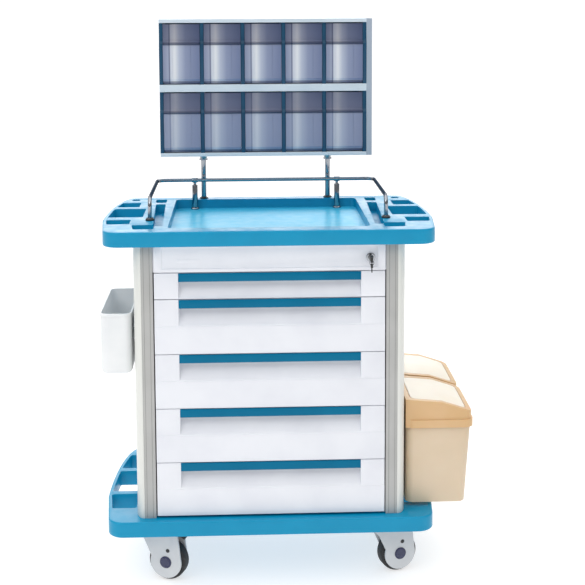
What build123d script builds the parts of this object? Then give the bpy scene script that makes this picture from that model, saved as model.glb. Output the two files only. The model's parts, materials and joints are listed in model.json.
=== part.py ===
from build123d import *
import os
from math import atan2, cos, degrees, radians, sin, sqrt

os.makedirs("parts", exist_ok=True)

# A hospital medication cart, in millimetres. The origin is on the floor below the middle of
# the cart; +X runs along its width, -Y is the drawer side and +Z is up.

# ---- Driving dimensions -------------------------------------------------------------------
# Trays: the moulded top and base share one plan outline with bowed ends.
TRAY_W = 850.0
TRAY_D = 520.0
TOP_Z = 915.0
TOP_T = 38.0
BASE_TOP_Z = 180.0
BASE_T = 40.0
BOW_Y = -84.0           # where the bowed end reaches its full width
BOW_IN = 55.0           # how far the bow pulls in towards the back corner
FRONT_IN = 18.0         # how far the end pulls in towards the front corner
FRONT_R = 42.0
EDGE_R = 4.0

# Recesses in the top tray.
RECESS_W = 504.0
RECESS_FRONT = 52.0     # from the tray's front edge
RECESS_BACK = 38.0      # from the tray's back edge
RECESS_DEEP = 25.0
POCKET_DEEP = 24.0
POCKET_R = 5.0
POCKET_RIM = 9.0

# Cabinet.
CABINET_W = 678.0
CABINET_D = 470.0
COLUMN_W = 50.0
COLUMN_D = 55.0
COLUMN_WALL = 2.5
COLUMN_FACE = 30.0      # flat front face; the rest of the width is the rounded corner
COLUMN_ROUND_D = 40.0
PANEL_T = 3.0
PANEL_SET = 3.0         # how far a panel lies inside the column's outer face
PANEL_BITE = 1.5
FIT_GAP = 0.2

# Drawer fronts.
FASCIA_H = 70.0
SMALL_FRONT_H = 67.0
TALL_FRONT_H = 139.0
TALL_COUNT = 4
FRONT_GAP = 2.0
FRONT_SIDE_GAP = 3.0
FRONT_T = 28.0
STRIP_H = 22.0
STRIP_T = 5.0
GRIP_END = 60.0         # flat end of a front beside the grip
GRIP_H = 43.0
GRIP_DEEP = 22.0
GRIP_ROOF = 7.0
LOWER_PROUD = 1.5

# Drawer boxes and their runners.
BOX_SIDE_GAP = 14.0     # from the column's inner face to the drawer box
BOX_WALL = 2.5
BOX_END_Y = 200.0
BOX_LOW = 6.0
BOX_HIGH = 14.0
RUNNER_H = 36.0
RUNNER_T = 1.5
RUNNER_GAP = 1.0

# Guard rail and rack posts.
RAIL_DIA = 10.0
RAIL_WALL = 1.5
RAIL_Z = 972.0
RAIL_X = 303.0
RAIL_FRONT_Y = -97.0
RAIL_BACK_Y = 209.0
RAIL_BEND = 22.0
RAIL_POST_X = 199.0
RAIL_POST_DIA = 15.0
FOOT_DIA = 18.0
FOOT_H = 7.0
POST_DIA = 14.0
POST_WALL = 1.5
POST_X = 175.0
POST_Y = 242.0
POST_SEAT = 20.0
POST_TOP_Z = 1140.0

# Tilt-bin rack: two equal units, one above the other.
RACK_W = 572.0
RACK_D = 135.0
RACK_BACK_Y = 232.0
RACK_Z = 1053.0
UNIT_H = 185.0
UNIT_COUNT = 2
BIN_COUNT = 5
STRIP_PLATE = 10.0
CAP_W = 15.0
DIVIDER_T = 10.0
HOUSING_BACK_T = 3.0
BIN_SIDE_GAP = 0.5
BIN_WALL = 2.0
PIN_R = 2.0
PIN_FIT = 0.05
PIN_IN = 4.0
HINGE_IN = 9.0          # hinge line in from the unit's front and up from its bottom plate
BIN_PROUD = 3.0
BIN_STEP_Z = 100.0
BIN_TOP_GAP = 3.0
BIN_DEPTH = 115.0

# Hangers on the cabinet's sides.
HANG_STANDOFF = 10.0
HANG_T = 2.0
HANG_H = 50.0
HANG_LIP = 22.0
HOOK_W = 40.0

# Utility box, left side.
UBOX_W = 79.0
UBOX_L = 275.0
UBOX_H = 155.0
UBOX_Z = 543.0
UBOX_FRONT_Y = -200.0
UBOX_WALL = 2.5
UBOX_R = 18.0
UBOX_FOOT_R = 12.0
UBOX_LIP = 3.0

# Waste bins, right side.
BIN_TOP_X = 166.0
BIN_FOOT_X = 153.0
BIN_TOP_Y = 204.0
BIN_FOOT_Y = 192.0
BIN_PITCH = 220.0
BIN_FIRST_Y = -97.0
BUCKET_Z = 190.0
BUCKET_H = 207.0
BUCKET_WALL = 2.5
BUCKET_R = 20.0
LID_LAP = 2.0
LID_BAND = 4.0
LID_SKIRT = 20.0
LID_DROP = 6.0          # how far the skirt reaches below the bucket's rim
LID_WALL = 3.0
LID_BACK_H = 74.0
LID_MID_H = 65.0
LID_FRONT_H = 40.0
FLAP_RIM = 13.0
FLAP_GAP = 1.5
FLAP_T = 3.0
FLAP_PIN_R = 2.5
FLAP_PIN_IN = 3.5
FLAP_PIVOT_OUT = 4.0    # off the flap's middle, so that it swings shut by its own weight
FLAP_CORNER_R = 14.0

# Casters.
WHEEL_DIA = 100.0
WHEEL_W = 32.0
CORE_DIA = 76.0
TRAIL = 34.0
CASTER_X = 294.0
CASTER_Y = 172.0
PLATE_SIDE = 92.0
PLATE_T = 5.0
STEM_R = 10.0
AXLE_R = 4.0
CHEEK_T = 5.0
CHEEK_GAP = 2.5
SHELL_R = 42.0
SHELL_LEAD = 28.0
SHELL_REAR = 31.0
HEAD_GAP = 2.0
RUN_FIT = 0.05
BOLT_R = 3.0
BRAKE_PIN_R = 2.5
CASTER_TURN = {"front_left": -20.0, "front_right": 18.0, "rear_left": -8.0, "rear_right": 24.0}
BRAKED = ("front_left", "rear_right")

# Lock.
LOCK_X = 250.0
LOCK_Z = 841.0
LOCK_R = 9.0
PLUG_R = 6.0
KEY_T = 2.2
KEY_H = 8.0
BOW_T = 5.0
BOW_H = 18.0
BOW_L = 26.0
BOW_HOLE_R = 2.2
BOW_HOLE_IN = 6.5       # from the bow's far end
BOW_HOLE_UP = -4.5      # from the middle of the bow in the lock
SPARE_BOW_L = 10.5
SPARE_BOW_H = 12.0
SPARE_HOLE_IN = 3.5
SPARE_BLADE_L = 11.0
BOW_OUT = 4.0           # from the drawer fronts' plane to the bow
BLADE_L = 22.0
RING_R = 5.0
RING_WIRE = 0.9

# ---- Worked-out places --------------------------------------------------------------------
TOP_UNDER = TOP_Z - TOP_T
BASE_UNDER = BASE_TOP_Z - BASE_T
HALF_W = CABINET_W / 2
HALF_D = CABINET_D / 2
BAY_X = HALF_W - COLUMN_W
FRONT_X = BAY_X - FRONT_SIDE_GAP
FRONT_Y = -HALF_D
FRONT_BACK_Y = FRONT_Y + FRONT_T
BOX_X = BAY_X - BOX_SIDE_GAP
PANEL_X = HALF_W - PANEL_SET
PANEL_END_Y = HALF_D - COLUMN_D + PANEL_BITE
RECESS_FLOOR = TOP_Z - RECESS_DEEP
RACK_FRONT_Y = RACK_BACK_Y - RACK_D
WHEEL_Z = WHEEL_DIA / 2
HEAD_Z = BASE_UNDER - HEAD_GAP


def save(name, *solids):
    """Write one node's solids to its own STEP file."""
    shape = solids[0] if len(solids) == 1 else Compound(children=list(solids))
    export_step(shape, f"parts/{name}.step")


def block(x0, x1, y0, y1, z0, z1):
    """A box between two corners, given in any order."""
    size = Box(abs(x1 - x0), abs(y1 - y0), abs(z1 - z0))
    return Pos((x0 + x1) / 2, (y0 + y1) / 2, (z0 + z1) / 2) * size


def prism_x(points, x0, x1):
    """Extrude a closed (y, z) outline along X."""
    face = make_face(Polyline(*[(0, y, z) for y, z in points], close=True))
    return Pos(x0, 0, 0) * extrude(face, amount=x1 - x0, dir=(1, 0, 0))


def prism_y(points, y0, y1):
    """Extrude a closed (x, z) outline along Y."""
    face = make_face(Polyline(*[(x, 0, z) for x, z in points], close=True))
    return Pos(0, y0, 0) * extrude(face, amount=y1 - y0, dir=(0, 1, 0))


def rod_x(radius, x0, x1, y, z):
    """A round bar along X."""
    return Pos((x0 + x1) / 2, y, z) * Rot(0, 90, 0) * Cylinder(radius, x1 - x0)


def rod_y(radius, y0, y1, x, z):
    """A round bar along Y."""
    return Pos(x, (y0 + y1) / 2, z) * Rot(90, 0, 0) * Cylinder(radius, y1 - y0)


def rod_z(radius, z0, z1, x, y):
    """A round bar along Z."""
    return Pos(x, y, (z0 + z1) / 2) * Cylinder(radius, z1 - z0)


def mirror_x(shape):
    """The same piece on the other side of the cart."""
    return mirror(shape, about=Plane.YZ)


def mirror_y(shape):
    """The same piece at the other end, front to back."""
    return mirror(shape, about=Plane.XZ)


# ---- Trays --------------------------------------------------------------------------------
def tray_outline(inset=0.0):
    """The plan outline of both trays: straight front and back, bowed ends."""
    half = TRAY_W / 2 - inset
    front = -TRAY_D / 2 + inset
    back = TRAY_D / 2 - inset
    corner = half - FRONT_IN
    shoulder = half - BOW_IN
    rise = back - BOW_Y
    right = [
        Line((corner, front), (half, BOW_Y)),
        EllipticalCenterArc((shoulder, BOW_Y), BOW_IN, rise, start_angle=0, arc_size=90),
    ]
    left = [mirror(edge, about=Plane.YZ) for edge in right]
    ends = [Line((-corner, front), (corner, front)), Line((-shoulder, back), (shoulder, back))]
    face = make_face(right + left + ends)
    nose = face.vertices().group_by(Axis.Y)[0]
    return fillet(nose, radius=FRONT_R - inset)


def end_band(x_in, y0, y1):
    """A rounded cut between two Y lines, from x_in out to the rim of the tray's end."""
    middle = (y0 + y1) / 2
    wide = Pos((x_in + TRAY_W) / 2, middle) * Rectangle(TRAY_W - x_in, y1 - y0)
    shape = tray_outline(POCKET_RIM) & wide
    return fillet(shape.vertices(), radius=POCKET_R)


def pocket(points):
    """A rounded four-sided pocket outline."""
    face = make_face(Polyline(*points, close=True))
    return fillet(face.vertices(), radius=POCKET_R)


def tray_pockets():
    """Outlines of the small pockets at the right end of the top tray."""
    front = -TRAY_D / 2
    back = TRAY_D / 2
    end = TRAY_W / 2
    inner = RECESS_W / 2
    corner = [
        (end - 138, front + 42), (end - 88, front + 42),
        (end - 80, front + 98), (end - 138, front + 99),
    ]
    small = [(end - 72, back - 52), (end - 48, back - 52), (end - 52, back - 28), (end - 72, back - 28)]
    long = [
        (inner + 14, front + 80), (inner + 38, front + 80),
        (inner + 52, back - 115), (inner + 25, back - 115),
    ]
    short = [
        (inner + 25, back - 88), (inner + 54, back - 88),
        (inner + 56, back - 36), (inner + 25, back - 36),
    ]
    bands = [
        end_band(end - 73, front + 113, front + 172),
        end_band(end - 100, front + 210, back - 183),
        end_band(end - 79, back - 156, back - 87),
    ]
    return bands + [pocket(points) for points in (corner, small, long, short)]


def base_slots():
    """Outlines of the three openings through the right end of the base tray."""
    front = -TRAY_D / 2
    back = TRAY_D / 2
    inner = HALF_W + 6
    return [
        end_band(inner, front + 92, front + 183),
        end_band(inner, front + 203, back - 177),
        end_band(inner, back - 155, back - 57),
    ]


def cut_both_ends(solid, outlines, z, depth):
    """Cut outlines down from z, and their mirror images at the other end."""
    for outline in outlines:
        cut = Pos(0, 0, z - depth) * extrude(outline, amount=depth, dir=(0, 0, 1))
        solid = solid - cut - mirror_x(cut)
    return solid


def make_top_tray():
    """The moulded top: tray recess, end pockets, post holes and a hollow underside."""
    tray = Pos(0, 0, TOP_UNDER) * extrude(tray_outline(), amount=TOP_T, dir=(0, 0, 1))
    tray = fillet(tray.edges().group_by(Axis.Z)[-1], radius=EDGE_R)
    tray = fillet(tray.edges().group_by(Axis.Z)[0], radius=EDGE_R)
    recess_y0 = -TRAY_D / 2 + RECESS_FRONT
    recess_y1 = TRAY_D / 2 - RECESS_BACK
    recess = Pos(0, (recess_y0 + recess_y1) / 2) * RectangleRounded(RECESS_W, recess_y1 - recess_y0, 14)
    tray -= Pos(0, 0, RECESS_FLOOR) * extrude(recess, amount=RECESS_DEEP, dir=(0, 0, 1))
    tray = cut_both_ends(tray, tray_pockets(), TOP_Z, POCKET_DEEP)
    under = TOP_T - RECESS_DEEP - 4
    tray -= block(-BAY_X + 4, BAY_X - 4, -HALF_D + 12, HALF_D - 12, TOP_UNDER, TOP_UNDER + under)
    for side in (-1, 1):
        tray -= rod_z(POST_DIA / 2, TOP_Z - POST_SEAT, TOP_Z, side * POST_X, POST_Y)
    return tray


def make_base_tray():
    """The moulded base: end openings, a hollow underside and seats for the caster plates."""
    tray = Pos(0, 0, BASE_UNDER) * extrude(tray_outline(), amount=BASE_T, dir=(0, 0, 1))
    tray = fillet(tray.edges().group_by(Axis.Z)[-1], radius=EDGE_R)
    tray = fillet(tray.edges().group_by(Axis.Z)[0], radius=EDGE_R)
    tray = cut_both_ends(tray, base_slots(), BASE_TOP_Z, BASE_T)
    pad = PLATE_SIDE / 2 + 8
    roof = BASE_TOP_Z - 6
    cross = block(-HALF_W + 4, HALF_W - 4, -CASTER_Y + pad, CASTER_Y - pad, BASE_UNDER, roof)
    cross += block(-CASTER_X + pad, CASTER_X - pad, -TRAY_D / 2 + 8, TRAY_D / 2 - 8, BASE_UNDER, roof)
    tray -= cross
    seat = PLATE_SIDE / 2 + FIT_GAP
    for x, y in caster_places().values():
        tray -= block(x - seat, x + seat, y - seat, y + seat, BASE_UNDER, BASE_UNDER + PLATE_T)
        for bolt_x, bolt_y in bolt_places(x, y):
            tray -= rod_z(BOLT_R, BASE_UNDER, BASE_UNDER + 20, bolt_x, bolt_y)
        tray -= rod_z(STEM_R + 3, BASE_UNDER, BASE_UNDER + PLATE_T + 4, x, y)
    return tray


# ---- Cabinet ------------------------------------------------------------------------------
def column_outline(inset):
    """Plan outline of the front right corner column, pulled in by inset."""
    x0, x1 = BAY_X + inset, HALF_W - inset
    y0, y1 = -HALF_D + inset, -HALF_D + COLUMN_D - inset
    face_x = BAY_X + COLUMN_FACE
    round_y = -HALF_D + COLUMN_ROUND_D
    corner = EllipticalCenterArc(
        (face_x, round_y), x1 - face_x, round_y - y0, start_angle=270, arc_size=90
    )
    edges = [
        Line((x0, y0), corner @ 0),
        corner,
        Line(corner @ 1, (x1, y1)),
        Line((x1, y1), (x0, y1)),
        Line((x0, y1), (x0, y0)),
    ]
    return make_face(edges)


def make_columns():
    """Four corner columns between the trays, slotted for the side and back panels."""
    section = column_outline(0) - column_outline(COLUMN_WALL)
    front = Pos(0, 0, BASE_TOP_Z) * extrude(section, amount=TOP_UNDER - BASE_TOP_Z, dir=(0, 0, 1))
    front -= block(
        PANEL_X - PANEL_T - FIT_GAP, PANEL_X + FIT_GAP,
        -HALF_D + COLUMN_D - PANEL_BITE, -HALF_D + COLUMN_D, BASE_TOP_Z, TOP_UNDER,
    )
    groove_x = BAY_X + COLUMN_FACE - 1
    front -= block(groove_x - 1.5, groove_x, -HALF_D, -HALF_D + 1, BASE_TOP_Z, TOP_UNDER)
    rear = mirror_y(front)
    rear -= block(
        BAY_X, BAY_X + PANEL_BITE,
        HALF_D - PANEL_SET - PANEL_T - FIT_GAP, HALF_D - PANEL_SET + FIT_GAP, BASE_TOP_Z, TOP_UNDER,
    )
    return [front, mirror_x(front), rear, mirror_x(rear)]


def make_side_panels():
    """The two flat side panels, seated in the columns' slots."""
    panel = block(PANEL_X - PANEL_T, PANEL_X, -PANEL_END_Y, PANEL_END_Y, BASE_TOP_Z, TOP_UNDER)
    return [panel, mirror_x(panel)]


def make_back_panel():
    """The flat back panel, seated in the rear columns' slots."""
    edge = BAY_X + PANEL_BITE
    y1 = HALF_D - PANEL_SET
    return block(-edge, edge, y1 - PANEL_T, y1, BASE_TOP_Z, TOP_UNDER)


def front_levels():
    """Lowest and highest Z of the drawer fronts, from the top one down."""
    levels = []
    top = TOP_UNDER - FASCIA_H
    for height in [SMALL_FRONT_H] + [TALL_FRONT_H] * TALL_COUNT:
        levels.append((top - height + FRONT_GAP, top))
        top -= height
    return levels


def make_fascia():
    """The fixed lock panel above the drawers, with a framed face and a lock hole."""
    z0 = TOP_UNDER - FASCIA_H + FRONT_GAP
    z1 = TOP_UNDER
    plate = block(-FRONT_X, FRONT_X, FRONT_Y, FRONT_Y + 4, z0, z1)
    plate -= block(-FRONT_X + 20, FRONT_X - 20, FRONT_Y, FRONT_Y + 1.5, z0 + 9, z1 - 6)
    flange_y = FRONT_Y + 30
    for low, high in ((z0, z0 + 3), (z1 - 3, z1)):
        plate += block(-BAY_X, BAY_X, FRONT_Y + 4, flange_y, low, high)
    flange = block(BAY_X - 6, BAY_X, FRONT_Y + 4, flange_y, z0, z1)
    plate += flange + mirror_x(flange)
    return plate - rod_y(LOCK_R + RUN_FIT, FRONT_Y, FRONT_Y + 4, LOCK_X, LOCK_Z)


# ---- Drawers ------------------------------------------------------------------------------
def grip_cut(top):
    """The hollow finger grip under and behind the coloured strip."""
    strip_y = FRONT_Y + STRIP_T
    deep_y = FRONT_Y + GRIP_DEEP
    low = top - STRIP_H - GRIP_H
    mouth = top - STRIP_H
    mid_y = FRONT_Y + GRIP_DEEP * 0.62
    mid_z = low + GRIP_H * 0.34
    outline = [
        Line((0, FRONT_Y - 5, low), (0, FRONT_Y, low)),
        ThreePointArc((0, FRONT_Y, low), (0, mid_y, mid_z), (0, deep_y, mouth)),
        Line((0, deep_y, mouth), (0, deep_y, top - GRIP_ROOF)),
        Line((0, deep_y, top - GRIP_ROOF), (0, strip_y, top - GRIP_ROOF)),
        Line((0, strip_y, top - GRIP_ROOF), (0, strip_y, mouth)),
        Line((0, strip_y, mouth), (0, FRONT_Y - 5, mouth)),
        Line((0, FRONT_Y - 5, mouth), (0, FRONT_Y - 5, low)),
    ]
    half = FRONT_X - GRIP_END
    return Pos(-half, 0, 0) * extrude(make_face(outline), amount=2 * half, dir=(1, 0, 0))


def make_front(low, top):
    """A moulded drawer front: grip above and, on a tall drawer, a proud panel below."""
    front = block(-FRONT_X, FRONT_X, FRONT_Y, FRONT_BACK_Y, low, top)
    half = FRONT_X - GRIP_END
    front -= grip_cut(top)
    front -= block(-half, half, FRONT_Y, FRONT_Y + STRIP_T, top - STRIP_H, top)
    panel_top = top - STRIP_H - GRIP_H - 3
    if panel_top - low > 12:
        front += block(-FRONT_X, FRONT_X, FRONT_Y - LOWER_PROUD, FRONT_Y, low, panel_top)
        front -= block(-FRONT_X + 5, FRONT_X - 5, FRONT_Y + 2.5, FRONT_BACK_Y, low + 4, panel_top - 4)
    return front


def make_strip(top):
    """The coloured strip that closes the top of the grip."""
    half = FRONT_X - GRIP_END
    return block(-half, half, FRONT_Y, FRONT_Y + STRIP_T, top - STRIP_H, top - 1)


def runner_z(low, top):
    """Middle height of a drawer's runners."""
    return (low + BOX_LOW + top - BOX_HIGH) / 2


def make_drawer_box(low, top):
    """An open drawer box with its two runner rails."""
    z0 = low + BOX_LOW
    z1 = top - BOX_HIGH
    wall = BOX_WALL
    box = block(-BOX_X, BOX_X, FRONT_BACK_Y, BOX_END_Y, z0, z1)
    box -= block(-BOX_X + wall, BOX_X - wall, FRONT_BACK_Y + wall, BOX_END_Y - wall, z0 + wall, z1)
    z = runner_z(low, top)
    half = RUNNER_H / 2 - RUNNER_T - RUNNER_GAP
    rail_end = BAY_X - RUNNER_T - RUNNER_GAP
    rail = block(BOX_X, rail_end, FRONT_BACK_Y + 7, BOX_END_Y - 5, z - half, z + half)
    rail -= block(BOX_X + 3, rail_end, FRONT_BACK_Y + 7, BOX_END_Y - 5, z - half + 3, z + half - 3)
    return [box, rail, mirror_x(rail)]


def make_runner_channel(low, top):
    """One fixed runner channel, right side, open towards the drawer."""
    z = runner_z(low, top)
    half = RUNNER_H / 2
    x0 = BOX_X + 2
    y0, y1 = FRONT_BACK_Y + 4, HALF_D - 9
    channel = block(x0, BAY_X, y0, y1, z - half, z + half)
    return channel - block(x0, BAY_X - RUNNER_T, y0, y1, z - half + RUNNER_T, z + half - RUNNER_T)


# ---- Guard rail and rack ------------------------------------------------------------------
def make_guard_rail():
    """The bent tube, its two back posts and the rings at its front feet."""
    path = FilletPolyline(
        (-RAIL_X, RAIL_FRONT_Y, TOP_Z),
        (-RAIL_X, RAIL_FRONT_Y, RAIL_Z),
        (-RAIL_X, RAIL_BACK_Y, RAIL_Z),
        (RAIL_X, RAIL_BACK_Y, RAIL_Z),
        (RAIL_X, RAIL_FRONT_Y, RAIL_Z),
        (RAIL_X, RAIL_FRONT_Y, TOP_Z),
        radius=RAIL_BEND,
    )
    start = Plane(origin=(-RAIL_X, RAIL_FRONT_Y, TOP_Z), z_dir=(0, 0, 1))
    ring = Circle(RAIL_DIA / 2) - Circle(RAIL_DIA / 2 - RAIL_WALL)
    tube = sweep(start * ring, path=path)
    solids = [tube]
    for side in (-1, 1):
        post_x = side * RAIL_POST_X
        neck = RAIL_Z - RAIL_DIA / 2 - 9
        post = rod_z(RAIL_POST_DIA / 2, RECESS_FLOOR, neck, post_x, RAIL_BACK_Y)
        post += rod_z(RAIL_DIA / 2 - 1, neck, RAIL_Z, post_x, RAIL_BACK_Y)
        saddle = rod_x(RAIL_DIA / 2 + 1.5, post_x - 8, post_x + 8, RAIL_BACK_Y, RAIL_Z)
        post = (post + saddle) - rod_x(RAIL_DIA / 2, post_x - 9, post_x + 9, RAIL_BACK_Y, RAIL_Z)
        foot = rod_z(FOOT_DIA / 2, TOP_Z, TOP_Z + FOOT_H, side * RAIL_X, RAIL_FRONT_Y)
        foot -= rod_z(RAIL_DIA / 2, TOP_Z, TOP_Z + FOOT_H, side * RAIL_X, RAIL_FRONT_Y)
        solids += [post, foot]
    return solids


def make_rack_posts():
    """Two upright tubes that carry the rack."""
    posts = []
    for side in (-1, 1):
        x = side * POST_X
        post = rod_z(POST_DIA / 2, TOP_Z - POST_SEAT, POST_TOP_Z, x, POST_Y)
        posts.append(post - rod_z(POST_DIA / 2 - POST_WALL, TOP_Z - POST_SEAT, POST_TOP_Z - 3, x, POST_Y))
    return posts


def make_rack_bracket():
    """The plate behind both units, with a socket for each post."""
    top = RACK_Z + UNIT_COUNT * UNIT_H
    wide = POST_X + 40
    socket_r = POST_Y - RACK_BACK_Y - 2
    plate = block(-wide, wide, RACK_BACK_Y, RACK_BACK_Y + 2.5, RACK_Z + 6, top - 20)
    for x in (-90, 90):
        plate -= block(x - 60, x + 60, RACK_BACK_Y, RACK_BACK_Y + 2.5, RACK_Z + 130, top - 60)
    for side in (-1, 1):
        socket = rod_z(socket_r + 2, RACK_Z - 24, POST_TOP_Z - 10, side * POST_X, POST_Y)
        x = side * POST_X
        web = block(x - 5, x + 5, RACK_BACK_Y, POST_Y, RACK_Z + 6, POST_TOP_Z - 10)
        plate += socket - block(-RACK_W, RACK_W, 0, RACK_BACK_Y, 0, 2 * top) + web
    for side in (-1, 1):
        plate -= rod_z(POST_DIA / 2 + RUN_FIT, 0, 2 * top, side * POST_X, POST_Y)
    return plate


def unit_base(row):
    """Lowest Z of a rack unit, counted from the bottom."""
    return RACK_Z + row * UNIT_H


def bin_pitch():
    """Spacing of the tilt bins."""
    return (RACK_W - CAP_W - DIVIDER_T) / BIN_COUNT


def bin_middle(column):
    """Middle X of a tilt bin, counted from the left."""
    return -RACK_W / 2 + DIVIDER_T / 2 + bin_pitch() * (column + 0.5)


def make_unit_frame(row):
    """A unit's pale outer frame: top and bottom plates, right end cap and back plate."""
    z0 = unit_base(row)
    z1 = z0 + UNIT_H
    half = RACK_W / 2
    back = RACK_BACK_Y - 3
    frame = block(-half, half, RACK_FRONT_Y, RACK_BACK_Y, z0, z0 + STRIP_PLATE)
    frame += block(-half, half, RACK_FRONT_Y, RACK_BACK_Y, z1 - STRIP_PLATE, z1)
    frame += block(half - CAP_W, half, RACK_FRONT_Y, RACK_BACK_Y, z0, z1)
    frame += block(-half, half, back, RACK_BACK_Y, z0, z1)
    return frame


def make_housing(row):
    """A unit's dark inner housing: dividers on a back wall, bored for the bins' pins."""
    z0 = unit_base(row) + STRIP_PLATE
    z1 = unit_base(row) + UNIT_H - STRIP_PLATE
    x0 = -RACK_W / 2
    x1 = RACK_W / 2 - CAP_W
    back = RACK_BACK_Y - 3
    housing = block(x0, x1, back - HOUSING_BACK_T, back, z0, z1)
    for wall in range(BIN_COUNT + 1):
        x = x0 + wall * bin_pitch()
        housing += block(x, x + DIVIDER_T, RACK_FRONT_Y, back, z0, z1)
    step = z0 + HINGE_IN + BIN_STEP_Z
    set_back = RACK_FRONT_Y + 5
    kink = [(RACK_FRONT_Y, step), (set_back, step + 8), (set_back, z1), (RACK_FRONT_Y, z1)]
    housing -= prism_x(kink, x0, x1)
    hinge_y = RACK_FRONT_Y + HINGE_IN
    for column in range(BIN_COUNT):
        reach = (bin_pitch() - DIVIDER_T) / 2 + PIN_IN
        x = bin_middle(column)
        housing -= rod_x(PIN_R + PIN_FIT, x - reach, x + reach, hinge_y, z0 + HINGE_IN)
    return housing


def make_tilt_bin(row, column):
    """A see-through bin that tips forward on two pins at its lower front edge."""
    hinge_y = RACK_FRONT_Y + HINGE_IN
    hinge_z = unit_base(row) + STRIP_PLATE + HINGE_IN
    clear = UNIT_H - 2 * STRIP_PLATE
    reach = clear - HINGE_IN - BIN_TOP_GAP
    heel = HINGE_IN - 1
    face = -(HINGE_IN + BIN_PROUD)
    upper = -HINGE_IN + 3
    half = (bin_pitch() - DIVIDER_T) / 2 - BIN_SIDE_GAP
    top_z = sqrt(reach * reach - upper * upper)
    back_z = sqrt(reach * reach - BIN_DEPTH * BIN_DEPTH)
    sweep_mid = radians((degrees(atan2(top_z, upper)) + degrees(atan2(back_z, BIN_DEPTH))) / 2)
    heel_mid = heel * cos(radians(45))
    rim = (reach * cos(sweep_mid), reach * sin(sweep_mid))
    run = [
        (-heel, 0), (face, 6), (face, BIN_STEP_Z - 2), (face - 4, BIN_STEP_Z),
        (face - 4, BIN_STEP_Z + 3), (upper, BIN_STEP_Z + 8), (upper, top_z),
    ]
    edges = [ThreePointArc((0, 0, -heel), (0, -heel_mid, -heel_mid), (0, -heel, 0))]
    edges += [Line((0, *a), (0, *b)) for a, b in zip(run, run[1:])]
    edges.append(ThreePointArc((0, upper, top_z), (0, *rim), (0, BIN_DEPTH, back_z)))
    edges.append(Line((0, BIN_DEPTH, back_z), (0, BIN_DEPTH, -heel)))
    edges.append(Line((0, BIN_DEPTH, -heel), (0, 0, -heel)))
    outer = Pos(-half, 0, 0) * extrude(make_face(edges), amount=2 * half, dir=(1, 0, 0))
    w = BIN_WALL
    hollow = [
        (2, -heel + w), (-heel + w + 1, 1), (face + w, 7),
        (face + w, BIN_STEP_Z), (upper + w, BIN_STEP_Z + 8),
        (upper + w, reach + 10), (BIN_DEPTH - w, reach + 10), (BIN_DEPTH - w, -heel + w),
    ]
    inner = prism_x(hollow, -half + w, half - w)
    pins = rod_x(PIN_R, -half - PIN_IN, -half + 1, 0, 0) + rod_x(PIN_R, half - 1, half + PIN_IN, 0, 0)
    return Pos(bin_middle(column), hinge_y, hinge_z) * (outer - inner + pins)


# ---- Side hangers, utility box and waste bins ---------------------------------------------
def make_hanger(y0, y1, z0):
    """A folded strip on the right side panel whose lip takes hooks from above."""
    x0 = PANEL_X
    x1 = x0 + HANG_STANDOFF - 0.5
    hanger = block(x0, x0 + HANG_T, y0, y1, z0, z0 + HANG_H)
    hanger += block(x0, x1, y0, y1, z0, z0 + HANG_T)
    return hanger + block(x1 - HANG_T, x1, y0, y1, z0, z0 + HANG_LIP)


def make_hook(y, z0):
    """A hook on a hung piece's back wall, right side: it drops behind the hanger's lip."""
    x1 = PANEL_X + HANG_STANDOFF
    leg = x1 - 0.5 - HANG_T - 1
    half = HOOK_W / 2
    top = z0 + HANG_LIP + 4
    hook = block(leg - 3, x1, y - half, y + half, top - 3, top)
    return hook + block(leg - 3, leg, y - half, y + half, z0 + HANG_T + 3, top)


def rounded_box(x0, x1, y0, y1, z0, z1, radius):
    """A box with rounded upright edges."""
    outline = Pos((x0 + x1) / 2, (y0 + y1) / 2, z0) * RectangleRounded(x1 - x0, y1 - y0, radius)
    return extrude(outline, amount=z1 - z0, dir=(0, 0, 1))


def make_utility_box():
    """An open box for gloves and paper, with a rolled lip; built right, mirrored left."""
    x0 = PANEL_X + HANG_STANDOFF
    x1 = x0 + UBOX_W
    y0 = UBOX_FRONT_Y
    y1 = y0 + UBOX_L
    z1 = UBOX_Z + UBOX_H
    wall = UBOX_WALL
    box = rounded_box(x0, x1, y0, y1, UBOX_Z, z1, UBOX_R)
    box = fillet(box.edges().group_by(Axis.Z)[0], radius=UBOX_FOOT_R)
    lip = UBOX_LIP
    box += rounded_box(x0, x1 + lip, y0 - lip, y1 + lip, z1 - 7, z1, UBOX_R + lip)
    hollow = rounded_box(x0 + wall, x1 - wall, y0 + wall, y1 - wall, UBOX_Z + wall, z1, UBOX_R - wall)
    box -= fillet(hollow.edges().group_by(Axis.Z)[0], radius=UBOX_FOOT_R - wall)
    for y in (y0 + UBOX_L * 0.25, y0 + UBOX_L * 0.75):
        box += make_hook(y, hanger_z(z1))
    return mirror_x(box)


def hanger_z(rim):
    """Lowest Z of the hanger for a hung piece whose rim is at this height."""
    return rim - 70


def tapered(x0, top_x, foot_x, top_y, foot_y, y, z0, z1, radius):
    """A tapered tub with one upright side at x0."""
    foot = Pos(x0 + foot_x / 2, y, z0) * RectangleRounded(foot_x, foot_y, radius)
    rim = Pos(x0 + top_x / 2, y, z1) * RectangleRounded(top_x, top_y, radius)
    return loft([foot, rim])


def make_bucket(y):
    """A tapered waste bucket hooked on the right side."""
    x0 = PANEL_X + HANG_STANDOFF
    w = BUCKET_WALL
    top = BUCKET_Z + BUCKET_H
    tub = tapered(x0, BIN_TOP_X, BIN_FOOT_X, BIN_TOP_Y, BIN_FOOT_Y, y, BUCKET_Z, top, BUCKET_R)
    hollow = tapered(
        x0 + w, BIN_TOP_X - 2 * w, BIN_FOOT_X - 2 * w, BIN_TOP_Y - 2 * w, BIN_FOOT_Y - 2 * w,
        y, BUCKET_Z + w, top, BUCKET_R - w,
    )
    return tub - hollow + make_hook(y, hanger_z(top))


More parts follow.
